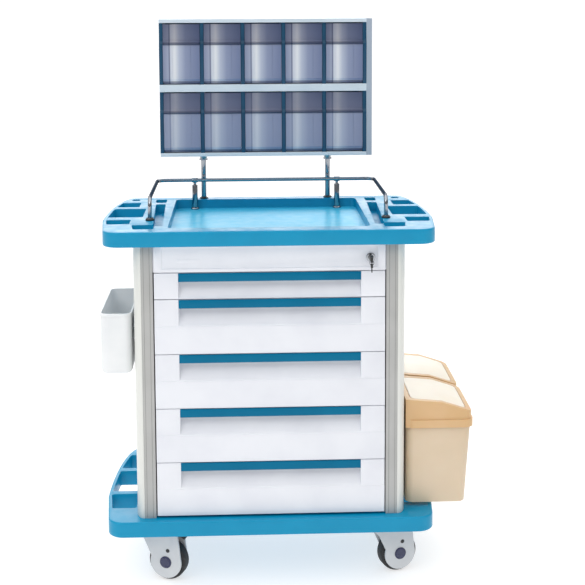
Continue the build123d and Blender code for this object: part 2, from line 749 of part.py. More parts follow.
def lid_profile(shrink):
    """Corner points (x, z) of the lid's side view, pulled in by shrink."""
    x0 = PANEL_X + HANG_STANDOFF - LID_LAP + shrink
    x1 = PANEL_X + HANG_STANDOFF + BIN_TOP_X + LID_LAP - shrink
    z0 = BUCKET_Z + BUCKET_H - LID_DROP
    return [
        (x0, z0), (x1, z0), (x1, z0 + LID_FRONT_H - shrink),
        (x0 + (x1 - x0) * 0.55, z0 + LID_MID_H - shrink), (x0, z0 + LID_BACK_H - shrink),
    ]


def lid_top(x, drop=0.0):
    """Height of the lid's bent top at x, less a drop."""
    _, _, low, bend, high = lid_profile(0)
    a, b = (low, bend) if x > bend[0] else (bend, high)
    return a[1] + (b[1] - a[1]) * (x - a[0]) / (b[0] - a[0]) - drop


def lid_shell(shrink, y):
    """The lid's closed outline, pulled in by shrink, with its two outer corners rounded."""
    half = BIN_TOP_Y / 2 + LID_LAP - shrink
    shell = prism_y(lid_profile(shrink), y - half, y + half)
    upright = shell.edges().filter_by(Axis.Z).sort_by(Axis.X)
    return fillet(upright[-2:], radius=BUCKET_R - shrink)


def flap_outline(y, gap, z0, z1):
    """The flap's plan outline as an upright block, grown or shrunk by a gap."""
    x0 = lid_profile(0)[0][0] + FLAP_RIM + gap
    x1 = lid_profile(0)[1][0] - FLAP_RIM - gap
    half = BIN_TOP_Y / 2 - FLAP_RIM - gap
    return rounded_box(x0, x1, y - half, y + half, z0, z1, FLAP_CORNER_R)


def flap_pivot():
    """Pivot (x, z) of the swing flap."""
    x = (lid_profile(0)[0][0] + lid_profile(0)[1][0]) / 2 + FLAP_PIVOT_OUT
    return x, lid_top(x, FLAP_T + 3)


def make_lid(y):
    """A swing-top lid: banded skirt, bent sloping top, an opening and two pivot bosses."""
    half = BIN_TOP_Y / 2 + LID_LAP + LID_BAND
    x0 = PANEL_X + HANG_STANDOFF
    x1 = x0 + BIN_TOP_X
    z0 = BUCKET_Z + BUCKET_H - LID_DROP
    band_x1 = x1 + LID_LAP + LID_BAND
    lid = lid_shell(0, y)
    lid += rounded_box(x0 - LID_LAP, band_x1, y - half, y + half, z0, z0 + LID_SKIRT, BUCKET_R + LID_BAND)
    pivot_x, pivot_z = flap_pivot()
    boss_in = BIN_TOP_Y / 2 - FLAP_RIM
    inner = lid_shell(LID_WALL, y)
    for side in (-1, 1):
        near, far = sorted((y + side * boss_in, y + side * half))
        inner -= block(pivot_x - 6, pivot_x + 6, near, far, pivot_z - 6, pivot_z + 20)
    lid -= inner
    fit = FIT_GAP
    y_half = BIN_TOP_Y / 2 + fit
    lid -= rounded_box(x0 - fit, x1 + fit, y - y_half, y + y_half, z0, z0 + LID_DROP, BUCKET_R + fit)
    lid -= flap_outline(y, 0, z0, z0 + 2 * LID_BACK_H)
    reach = boss_in + FLAP_PIN_IN + 0.5
    return lid - rod_y(FLAP_PIN_R + RUN_FIT, y - reach, y + reach, pivot_x, pivot_z)


def make_flap(y):
    """The bent swing flap, with a pivot pin at each side."""
    profile = lid_profile(0)
    x0, x1, bend_x = profile[0][0], profile[1][0], profile[3][0]
    top = [(x, lid_top(x)) for x in (x0, bend_x, x1)]
    under = [(x, lid_top(x, FLAP_T)) for x in (x1, bend_x, x0)]
    half = BIN_TOP_Y / 2
    plate = prism_y(top + under, y - half, y + half)
    plate = plate & flap_outline(y, FLAP_GAP, BUCKET_Z, BUCKET_Z + 2 * BUCKET_H)
    pivot_x, pivot_z = flap_pivot()
    barrel = half - FLAP_RIM - FLAP_GAP
    reach = half - FLAP_RIM + FLAP_PIN_IN
    plate += rod_y(4, y - barrel, y + barrel, pivot_x, pivot_z)
    return plate + rod_y(FLAP_PIN_R, y - reach, y + reach, pivot_x, pivot_z)


# ---- Casters ------------------------------------------------------------------------------
def caster_places():
    """Swivel axis of each caster."""
    return {
        "front_left": (-CASTER_X, -CASTER_Y), "front_right": (CASTER_X, -CASTER_Y),
        "rear_left": (-CASTER_X, CASTER_Y), "rear_right": (CASTER_X, CASTER_Y),
    }


def bolt_places(x, y):
    """The four bolts round one caster plate."""
    reach = PLATE_SIDE / 2 - 10
    return [(x + sx * reach, y + sy * reach) for sx in (-1, 1) for sy in (-1, 1)]


def make_caster_plates():
    """The fixed top plates, bored for the swivel stems, and their bolts."""
    solids = []
    for x, y in caster_places().values():
        half = PLATE_SIDE / 2
        plate = block(x - half, x + half, y - half, y + half, BASE_UNDER, BASE_UNDER + PLATE_T)
        plate -= rod_z(STEM_R + RUN_FIT, BASE_UNDER, BASE_UNDER + PLATE_T, x, y)
        for bolt_x, bolt_y in bolt_places(x, y):
            plate -= rod_z(BOLT_R, BASE_UNDER, BASE_UNDER + PLATE_T, bolt_x, bolt_y)
            bolt = rod_z(BOLT_R, BASE_UNDER, BASE_UNDER + 18, bolt_x, bolt_y)
            solids.append(bolt + rod_z(BOLT_R * 1.6, BASE_UNDER - 1.5, BASE_UNDER, bolt_x, bolt_y))
        solids.append(plate)
    return solids


def cheek_outline():
    """Side view of the caster's shell: a disc over the wheel joined to a broad head."""
    disc = Pos(TRAIL, WHEEL_Z) * Circle(SHELL_R)
    lead = [
        (-SHELL_LEAD, HEAD_Z), (-SHELL_LEAD, HEAD_Z - 26), (TRAIL - SHELL_R * 0.95, WHEEL_Z + 14),
        (TRAIL, WHEEL_Z), (TRAIL + SHELL_R * 0.98, WHEEL_Z + 8), (TRAIL + SHELL_REAR, HEAD_Z),
    ]
    return disc + make_face(Polyline(*lead, close=True))


def make_caster_body(braked):
    """The swivelling shell with its stem and axle, trailing towards +X of its own frame."""
    inner = WHEEL_W / 2 + CHEEK_GAP
    outer = inner + CHEEK_T
    side = extrude(Plane.XZ * cheek_outline(), amount=outer, both=True)
    tyre_room = rod_y(WHEEL_DIA / 2 + 4, -inner, inner, TRAIL, WHEEL_Z)
    room = tyre_room + block(-SHELL_LEAD - 9, TRAIL + WHEEL_DIA, -inner, inner, 0, WHEEL_Z)
    room += block(TRAIL, TRAIL + WHEEL_DIA, -inner, inner, 0, HEAD_Z - 8)
    room += block(-SHELL_LEAD + 4, -2, -inner, inner, 0, HEAD_Z - 22)
    shell = side - room
    shell += rod_z(STEM_R, HEAD_Z - 4, BASE_UNDER + PLATE_T, 0, 0)
    shell -= rod_y(AXLE_R, -outer, outer, TRAIL, WHEEL_Z)
    if braked:
        x, z = brake_pivot()
        shell -= rod_y(BRAKE_PIN_R + RUN_FIT, -outer, outer, x, z)
    axle = rod_y(AXLE_R, -outer, outer, TRAIL, WHEEL_Z)
    return [shell, axle]


def make_wheel():
    """The wheel's core and its tyre, in the caster's own frame."""
    half = WHEEL_W / 2
    core = rod_y(CORE_DIA / 2, -half + 1, half - 1, TRAIL, WHEEL_Z)
    core -= rod_y(AXLE_R + RUN_FIT, -half, half, TRAIL, WHEEL_Z)
    tyre = rod_y(WHEEL_DIA / 2, -half, half, TRAIL, WHEEL_Z)
    tyre = fillet(tyre.edges().filter_by(GeomType.CIRCLE), radius=7)
    return [core, tyre - rod_y(CORE_DIA / 2, -half, half, TRAIL, WHEEL_Z)]


def make_brake():
    """The foot pedal with its pivot barrel, in the caster's own frame."""
    inner = WHEEL_W / 2 + CHEEK_GAP
    x, z = brake_pivot()
    half = inner - 0.6
    side_view = [(0, 4.5), (28, -1), (34, -7), (31, -10), (24, -5), (0, -4.5)]
    pedal = rod_y(5, -half, half, x, z)
    pedal += prism_y([(x + dx, z + dz) for dx, dz in side_view], -half, half)
    return pedal + rod_y(BRAKE_PIN_R, -inner - 3, inner + 3, x, z)


def brake_pivot():
    """Pivot (x, z) of the brake pedal in the caster's own frame."""
    return TRAIL + 18, HEAD_Z - 15


def place_caster(name, solid):
    """Turn a caster piece to its resting angle and move it to its corner."""
    x, y = caster_places()[name]
    return Pos(x, y, 0) * Rot(0, 0, CASTER_TURN[name]) * solid


# ---- Lock and keys ------------------------------------------------------------------------
def make_lock_cylinder():
    """The fixed lock barrel with its face ring."""
    barrel = rod_y(LOCK_R, FRONT_Y, FRONT_Y + 28, LOCK_X, LOCK_Z)
    barrel += rod_y(LOCK_R + 2.5, FRONT_Y - 1.5, FRONT_Y + 1.5, LOCK_X, LOCK_Z)
    barrel -= block(LOCK_X - 30, LOCK_X + 30, FRONT_Y, FRONT_Y + 1.5, LOCK_Z + LOCK_R, LOCK_Z + 30)
    return barrel - rod_y(PLUG_R + RUN_FIT, FRONT_Y - 5, FRONT_Y + 40, LOCK_X, LOCK_Z)


def make_lock_cam():
    """The turning plug with its keyway and the locking cam behind it."""
    plug = rod_y(PLUG_R, FRONT_Y - 2, FRONT_Y + 34, LOCK_X, LOCK_Z)
    cam = block(LOCK_X - 6, LOCK_X + 6, FRONT_Y + 30, FRONT_Y + 33, LOCK_Z - 6, LOCK_Z + 24)
    slot_x = KEY_T / 2 + 0.15
    slot_z = KEY_H / 2 + 0.15
    way_end = FRONT_Y - BOW_OUT + BLADE_L + 1
    way = block(LOCK_X - slot_x, LOCK_X + slot_x, FRONT_Y - 2, way_end, LOCK_Z - slot_z, LOCK_Z + slot_z)
    return plug + cam - way


def key_solid(bow_l, bow_h, blade_l, hole_in, hole_up):
    """A flat key: moulded bow with a ring hole, then a blade along +Y from the origin."""
    bow = Box(BOW_T, bow_l, bow_h)
    bow = fillet(bow.edges().filter_by(Axis.X), radius=bow_l * 0.3)
    bow = Pos(0, -bow_l / 2, 0) * bow
    blade = block(-KEY_T / 2, KEY_T / 2, -1, blade_l, -KEY_H / 2, KEY_H / 2)
    return bow + blade - rod_x(BOW_HOLE_R, -BOW_T, BOW_T, hole_in - bow_l, hole_up)


def make_lock_key():
    """The key that stands in the lock."""
    key = key_solid(BOW_L, BOW_H, BLADE_L, BOW_HOLE_IN, BOW_HOLE_UP)
    return Pos(LOCK_X, FRONT_Y - BOW_OUT, LOCK_Z) * key


def ring_pivot():
    """Where (y, z) the key ring passes through the bow of the key in the lock."""
    return FRONT_Y - BOW_OUT - BOW_L + BOW_HOLE_IN, LOCK_Z + BOW_HOLE_UP


def make_spare_key():
    """The key ring and the small spare key that hangs from it, blade down."""
    y, z = ring_pivot()
    ring = Pos(LOCK_X, y, z - RING_R) * Rot(90, 0, 0) * Torus(RING_R, RING_WIRE)
    key = key_solid(SPARE_BOW_L, SPARE_BOW_H, SPARE_BLADE_L, SPARE_HOLE_IN, 0)
    bow_foot = z - 2 * RING_R - SPARE_BOW_L + SPARE_HOLE_IN
    return [ring, Pos(LOCK_X, y, bow_foot) * Rot(-90, 0, 0) * key]


# ---- Build every node ---------------------------------------------------------------------
def build_cabinet():
    """Trays, columns, panels, fascia and runner channels."""
    save("top_tray", make_top_tray())
    save("base_tray", make_base_tray())
    save("corner_columns", *make_columns())
    save("side_panels", *make_side_panels())
    save("back_panel", make_back_panel())
    save("lock_fascia", make_fascia())
    channels = []
    for low, top in front_levels():
        channel = make_runner_channel(low, top)
        channels += [channel, mirror_x(channel)]
    save("runner_channels", *channels)


def build_drawers():
    """Five drawers: front, coloured strip, and box with its rails."""
    for index, (low, top) in enumerate(front_levels(), start=1):
        save(f"drawer_front_{index}", make_front(low, top))
        save(f"drawer_strip_{index}", make_strip(top))
        save(f"drawer_box_{index}", *make_drawer_box(low, top))


def build_rack():
    """Guard rail, posts, bracket, units and tilt bins."""
    save("guard_rail", *make_guard_rail())
    save("rack_posts", *make_rack_posts())
    save("rack_bracket", make_rack_bracket())
    save("rack_frame", *[make_unit_frame(row) for row in range(UNIT_COUNT)])
    save("rack_housing", *[make_housing(row) for row in range(UNIT_COUNT)])
    for row in range(UNIT_COUNT):
        for column in range(BIN_COUNT):
            number = (UNIT_COUNT - 1 - row) * BIN_COUNT + column + 1
            save(f"tilt_bin_{number:02d}", make_tilt_bin(row, column))


def build_side_pieces():
    """Hangers, utility box and waste bins."""
    box_hanger = make_hanger(UBOX_FRONT_Y + 30, UBOX_FRONT_Y + UBOX_L - 30, hanger_z(UBOX_Z + UBOX_H))
    bin_last_y = BIN_FIRST_Y + BIN_PITCH
    bin_hanger = make_hanger(BIN_FIRST_Y - 40, bin_last_y + 40, hanger_z(BUCKET_Z + BUCKET_H))
    save("side_hangers", mirror_x(box_hanger), bin_hanger)
    save("utility_box", make_utility_box())
    for name, y in (("front", BIN_FIRST_Y), ("rear", bin_last_y)):
        save(f"waste_bucket_{name}", make_bucket(y))
        save(f"waste_lid_{name}", make_lid(y))
        save(f"waste_flap_{name}", make_flap(y))


def build_casters():
    """Plates, and a shell, wheel and maybe a brake pedal at each corner."""
    save("caster_plates", *make_caster_plates())
    for name in caster_places():
        body = make_caster_body(name in BRAKED)
        save(f"caster_fork_{name}", *[place_caster(name, solid) for solid in body])
        save(f"caster_wheel_{name}", *[place_caster(name, solid) for solid in make_wheel()])
        if name in BRAKED:
            save(f"brake_pedal_{name}", place_caster(name, make_brake()))


def build_lock():
    """Lock barrel, cam, key and the spare key on its ring."""
    save("lock_cylinder", make_lock_cylinder())
    save("lock_cam", make_lock_cam())
    save("lock_key", make_lock_key())
    save("spare_key", *make_spare_key())


build_cabinet()
build_drawers()
build_rack()
build_side_pieces()
build_casters()
build_lock()
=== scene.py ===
"""Finishes, soft edges and small fittings of a ward medication cart.

The cart stands on the floor with +Z up and its drawers towards -Y. Sizes are in millimetres
and are turned to metres where a mesh is made.
"""

import json
import logging
import math
from dataclasses import dataclass
from enum import Enum
from typing import Dict, List, Optional, Sequence, Tuple

import bpy
from mathutils import Matrix, Vector

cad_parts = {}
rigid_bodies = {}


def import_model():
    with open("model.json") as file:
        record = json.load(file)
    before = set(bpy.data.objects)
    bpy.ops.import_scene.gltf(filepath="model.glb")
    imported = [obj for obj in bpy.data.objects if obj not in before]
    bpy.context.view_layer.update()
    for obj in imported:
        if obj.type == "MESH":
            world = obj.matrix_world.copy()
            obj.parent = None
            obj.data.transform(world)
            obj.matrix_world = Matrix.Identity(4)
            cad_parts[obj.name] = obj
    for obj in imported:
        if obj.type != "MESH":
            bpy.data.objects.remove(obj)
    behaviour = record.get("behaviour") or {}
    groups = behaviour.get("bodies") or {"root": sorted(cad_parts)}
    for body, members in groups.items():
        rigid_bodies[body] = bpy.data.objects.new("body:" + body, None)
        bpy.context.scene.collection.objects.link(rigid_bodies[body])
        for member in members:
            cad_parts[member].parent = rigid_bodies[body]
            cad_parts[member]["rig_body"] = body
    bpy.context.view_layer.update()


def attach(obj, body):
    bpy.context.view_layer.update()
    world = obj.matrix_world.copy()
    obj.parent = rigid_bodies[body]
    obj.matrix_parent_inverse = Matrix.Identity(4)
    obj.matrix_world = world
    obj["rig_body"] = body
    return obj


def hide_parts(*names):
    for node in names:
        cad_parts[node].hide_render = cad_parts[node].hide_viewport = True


LOG = logging.getLogger("cart")
Point = Tuple[float, float, float]


# ---- Small tools ------------------------------------------------------------------------------
def metres(*sizes: float) -> Vector:
    """Millimetre sizes as a vector in metres."""
    return Vector([size / 1000 for size in sizes])


def linear(hex_colour: str) -> Tuple[float, float, float, float]:
    """Turns an sRGB hex colour into linear RGBA.

    Args:
        hex_colour: Six hex digits with a leading hash.

    Returns:
        The colour as four linear numbers, the last one being an alpha of 1.
    """
    channels = [int(hex_colour[i:i + 2], 16) / 255 for i in (1, 3, 5)]
    curve = [c / 12.92 if c <= 0.04045 else ((c + 0.055) / 1.055) ** 2.4 for c in channels]
    return curve[0], curve[1], curve[2], 1.0


def add_node(tree: bpy.types.NodeTree, kind: str, settings: Optional[dict] = None,
             links: Optional[dict] = None) -> bpy.types.Node:
    """Adds one node with its settings and its incoming links.

    Args:
        tree: The material's node tree.
        kind: The node's type name.
        settings: Attribute names, or input names and numbers, with their values.
        links: Input names or numbers, with the output socket that feeds each.

    Returns:
        The new node.
    """
    node = tree.nodes.new(kind)
    for key, value in (settings or {}).items():
        if isinstance(key, str) and hasattr(node, key):
            setattr(node, key, value)
        else:
            node.inputs[key].default_value = value
    for key, socket in (links or {}).items():
        tree.links.new(socket, node.inputs[key])
    return node


def select_only(piece: bpy.types.Object) -> None:
    """Makes one object the only selected one, and the active one."""
    bpy.ops.object.select_all(action="DESELECT")
    piece.select_set(True)
    bpy.context.view_layer.objects.active = piece


def name_piece(name: str) -> bpy.types.Object:
    """Names the newly added active object and its mesh."""
    piece = bpy.context.active_object
    piece.name = name
    piece.data.name = name
    return piece


def settle(piece: bpy.types.Object) -> None:
    """Moves an object's place, turn and scale into its mesh."""
    select_only(piece)
    bpy.ops.object.transform_apply(location=True, rotation=True, scale=True)


def soften(piece: bpy.types.Object, width: float, segments: int = 2, angle: float = 32.0) -> None:
    """Rounds an object's sharp edges and shades its curved faces smooth.

    Args:
        piece: The object to finish.
        width: Width of the rounding in millimetres.
        segments: Steps across the rounding.
        angle: Smallest angle, in degrees, of an edge that counts as sharp.
    """
    select_only(piece)
    bevel = piece.modifiers.new("edges", "BEVEL")
    bevel.width = width / 1000
    bevel.segments = segments
    bevel.limit_method = "ANGLE"
    bevel.angle_limit = math.radians(angle)
    bevel.miter_outer = "MITER_ARC"
    bpy.ops.object.modifier_apply(modifier=bevel.name)
    bpy.ops.object.shade_smooth_by_angle(angle=math.radians(angle))


def mount_piece(piece: bpy.types.Object, body: str, finish: "Finish") -> bpy.types.Object:
    """Dresses a finished piece and lets it ride on its body.

    Args:
        piece: The object to mount.
        body: The moving body that it rides on.
        finish: The finish that it gets.

    Returns:
        The same object.
    """
    piece.data.materials.clear()
    piece.data.materials.append(finish.material())
    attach(piece, body)
    return piece


def copy_of(node: str) -> bpy.types.Object:
    """A merged copy of a node's mesh, with its flat faces whole again.

    Args:
        node: Name of the node.

    Returns:
        The copy, selected and active.
    """
    source = bpy.data.objects[node]
    mesh = source.data.copy()
    mesh.name = node + "_skin"
    piece = bpy.data.objects.new(node + "_skin", mesh)
    bpy.context.scene.collection.objects.link(piece)
    select_only(piece)
    bpy.ops.object.mode_set(mode="EDIT")
    bpy.ops.mesh.select_all(action="SELECT")
    bpy.ops.mesh.remove_doubles(threshold=0.00001)
    bpy.ops.mesh.customdata_custom_splitnormals_clear()
    bpy.ops.mesh.dissolve_limited(angle_limit=math.radians(0.4))
    bpy.ops.object.mode_set(mode="OBJECT")
    return piece


def separate_solids(piece: bpy.types.Object) -> List[bpy.types.Object]:
    """Splits an object into its separate solids.

    Args:
        piece: The object to split.

    Returns:
        The solids, ordered by the middle of each along X, then Y, then Z.
    """
    select_only(piece)
    bpy.ops.object.mode_set(mode="EDIT")
    bpy.ops.mesh.select_all(action="SELECT")
    bpy.ops.mesh.separate(type="LOOSE")
    bpy.ops.object.mode_set(mode="OBJECT")
    return sorted(bpy.context.selected_objects, key=lambda part: tuple(round(v, 4) for v in middle_of(part)))


def corners_of(piece: bpy.types.Object) -> Tuple[Vector, Vector]:
    """Lowest and highest corners of an object's mesh."""
    points = [vertex.co for vertex in piece.data.vertices]
    low = Vector([min(point[axis] for point in points) for axis in range(3)])
    high = Vector([max(point[axis] for point in points) for axis in range(3)])
    return low, high


def middle_of(piece: bpy.types.Object) -> Vector:
    """Middle of an object's box."""
    low, high = corners_of(piece)
    return (low + high) / 2


def body_of(node: str) -> str:
    """Name of the body that a node belongs to."""
    return bpy.data.objects[node]["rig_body"]


def skin(node: str, finish: "Finish", width: float = 0.8, segments: int = 2) -> bpy.types.Object:
    """Replaces a node with a softened copy in its own finish.

    Args:
        node: Name of the node.
        finish: The finish that the copy gets.
        width: Width of the edge rounding in millimetres.
        segments: Steps across the rounding.

    Returns:
        The new piece.
    """
    body = body_of(node)
    piece = copy_of(node)
    soften(piece, width, segments)
    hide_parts(node)
    return mount_piece(piece, body, finish)


def twin(piece: bpy.types.Object, name: str, matrix: Matrix) -> bpy.types.Object:
    """A copy of a piece, with a mesh of its own, moved by a matrix.

    Args:
        piece: The piece to copy.
        name: Name of the copy.
        matrix: Where the copy goes, from where the piece is.

    Returns:
        The copy, not yet mounted.
    """
    mesh = piece.data.copy()
    mesh.name = name
    mesh.transform(matrix)
    copy = bpy.data.objects.new(name, mesh)
    bpy.context.scene.collection.objects.link(copy)
    return copy


def bar(name: str, low: Sequence[float], high: Sequence[float], width: float) -> bpy.types.Object:
    """A straight bar with rounded edges.

    Args:
        name: Name of the bar.
        low: Its lowest corner in millimetres.
        high: Its highest corner in millimetres.
        width: Width of the edge rounding in millimetres.

    Returns:
        The bar, not yet mounted.
    """
    bpy.ops.object.select_all(action="DESELECT")
    middle = (metres(*low) + metres(*high)) / 2
    bpy.ops.mesh.primitive_cube_add(size=1, location=middle)
    piece = name_piece(name)
    piece.scale = metres(*high) - metres(*low)
    settle(piece)
    soften(piece, width, 3)
    return piece


# ---- Finishes ---------------------------------------------------------------------------------
class Grain(Enum):
    """How a moulded or sprayed surface feels: grain size and depth in millimetres."""

    POLISHED = (3.0, 0.004)
    SATIN = (1.6, 0.012)
    LEATHERED = (1.1, 0.035)


class Finish:
    """A surface finish whose material is made once and shared."""

    made: Dict[str, bpy.types.Material] = {}
    name: str

    def material(self) -> bpy.types.Material:
        """The finish's material, made on its first use."""
        if self.name not in Finish.made:
            material = bpy.data.materials.new(self.name)
            material.use_nodes = True
            tree = material.node_tree
            tree.nodes.clear()
            place = add_node(tree, "ShaderNodeTexCoord").outputs["Object"]
            shader = self.shade(tree, place)
            add_node(tree, "ShaderNodeOutputMaterial", links={"Surface": shader.outputs[0]})
            Finish.made[self.name] = material
        return Finish.made[self.name]

    def shade(self, tree: bpy.types.NodeTree, place: bpy.types.NodeSocket) -> bpy.types.Node:
        """Builds the shader; each finish has its own."""
        raise NotImplementedError


@dataclass(frozen=True)
class Moulded(Finish):
    """Injection-moulded ABS or polypropylene: even colour, faint flow marks, a fine mould grain."""

    name: str
    colour: str
    shade_colour: str
    grain: Grain = Grain.SATIN
    roughness: float = 0.38
    coat: float = 0.0
    flow: float = 90.0
    subsurface: float = 0.0
    shine: float = 0.5

    def tint(self, tree: bpy.types.NodeTree, place: bpy.types.NodeSocket) -> bpy.types.NodeSocket:
        """Colour with the slow drift that melt flow leaves.

        Args:
            tree: The material's node tree.
            place: Object coordinates.

        Returns:
            The colour socket.
        """
        drift = add_node(
            tree, "ShaderNodeTexNoise", {"Scale": 1000 / self.flow, "Detail": 3.0}, {"Vector": place},
        )
        ramp = add_node(tree, "ShaderNodeValToRGB", links={"Fac": drift.outputs["Fac"]})
        ramp.color_ramp.elements[0].position = 0.32
        ramp.color_ramp.elements[0].color = linear(self.shade_colour)
        ramp.color_ramp.elements[1].position = 0.62
        ramp.color_ramp.elements[1].color = linear(self.colour)
        return ramp.outputs["Color"]

    def shade(self, tree: bpy.types.NodeTree, place: bpy.types.NodeSocket) -> bpy.types.Node:
        """Builds the shader.

        Args:
            tree: The material's node tree.
            place: Object coordinates.

        Returns:
            The shader node.
        """
        size, depth = self.grain.value
        grain = add_node(tree, "ShaderNodeTexNoise", {"Scale": 1000 / size, "Detail": 2.0}, {"Vector": place})
        bump = add_node(
            tree, "ShaderNodeBump", {"Strength": 0.55, "Distance": depth / 1000},
            {"Height": grain.outputs["Fac"]},
        )
        # Handling leaves patches that are a little smoother than the mould's own surface.
        rub = add_node(tree, "ShaderNodeTexNoise", {"Scale": 1000 / 28, "Detail": 5.0}, {"Vector": place})
        gloss = add_node(
            tree, "ShaderNodeMapRange",
            {
                "From Min": 0.35, "From Max": 0.7,
                "To Min": self.roughness - 0.05, "To Max": self.roughness + 0.07,
            },
            {"Value": rub.outputs["Fac"]},
        )
        return add_node(
            tree, "ShaderNodeBsdfPrincipled",
            {
                "IOR": 1.53, "Specular IOR Level": self.shine, "Coat Weight": self.coat, "Coat Roughness": 0.12,
                "Subsurface Weight": self.subsurface, "Subsurface Scale": 0.004,
            },
            {
                "Base Color": self.tint(tree, place), "Roughness": gloss.outputs[0],
                "Normal": bump.outputs["Normal"],
            },
        )


@dataclass(frozen=True)
class DeckTone(Moulded):
    """Tray plastic with a paler blue on the sunk work area.

    The paler zone is a painted highlight that stands for the broad soft sheen on that face. It is held in the
    colour, not wear.
    """

    deck: str = "#38BDE3"
    deck_z: float = 890.0

    def tint(self, tree: bpy.types.NodeTree, place: bpy.types.NodeSocket) -> bpy.types.NodeSocket:
        """The moulded colour, with a painted highlight that makes the work area's face paler.

        Args:
            tree: The material's node tree.
            place: Object coordinates.

        Returns:
            The colour socket.
        """
        split = add_node(tree, "ShaderNodeSeparateXYZ", links={"Vector": place})
        masks = [
            add_node(
                tree, "ShaderNodeMath", {"operation": "COMPARE", 1: middle / 1000, 2: reach / 1000},
                {0: split.outputs[axis]},
            )
            for axis, middle, reach in (("X", 0.0, 320.0), ("Y", 0.0, 235.0), ("Z", self.deck_z, 0.6))
        ]
        inside = add_node(
            tree, "ShaderNodeMath", {"operation": "MULTIPLY"}, {0: masks[0].outputs[0], 1: masks[1].outputs[0]},
        )
        height = add_node(
            tree, "ShaderNodeMath", {"operation": "MULTIPLY"}, {0: inside.outputs[0], 1: masks[2].outputs[0]},
        )
        # Painted highlight: the paler blue mixed in on the work area's face.
        mix = add_node(
            tree, "ShaderNodeMix", {"data_type": "RGBA", 7: linear(self.deck)},
            {0: height.outputs[0], 6: super().tint(tree, place)},
        )
        return mix.outputs[2]


@dataclass(frozen=True)
class TwoTone(Moulded):
    """Moulded column profile: a grey face with a paler rounded outer corner."""

    corner: str = "#E4E5E0"
    edge: float = 318.0
    both: bool = True

    def tint(self, tree: bpy.types.NodeTree, place: bpy.types.NodeSocket) -> bpy.types.NodeSocket:
        """Grey inside the edge line and the corner colour outside it.

        Args:
            tree: The material's node tree.
            place: Object coordinates.

        Returns:
            The colour socket.
        """
        split = add_node(tree, "ShaderNodeSeparateXYZ", links={"Vector": place})
        fold = {"operation": "ABSOLUTE"} if self.both else {"operation": "ADD", 1: 0.0}
        side = add_node(tree, "ShaderNodeMath", fold, {0: split.outputs["X"]})
        outside = add_node(
            tree, "ShaderNodeMath", {"operation": "GREATER_THAN", 1: self.edge / 1000}, {0: side.outputs[0]},
        )
        mix = add_node(
            tree, "ShaderNodeMix", {"data_type": "RGBA", 7: linear(self.corner)},
            {0: outside.outputs[0], 6: super().tint(tree, place)},
        )
        return mix.outputs[2]


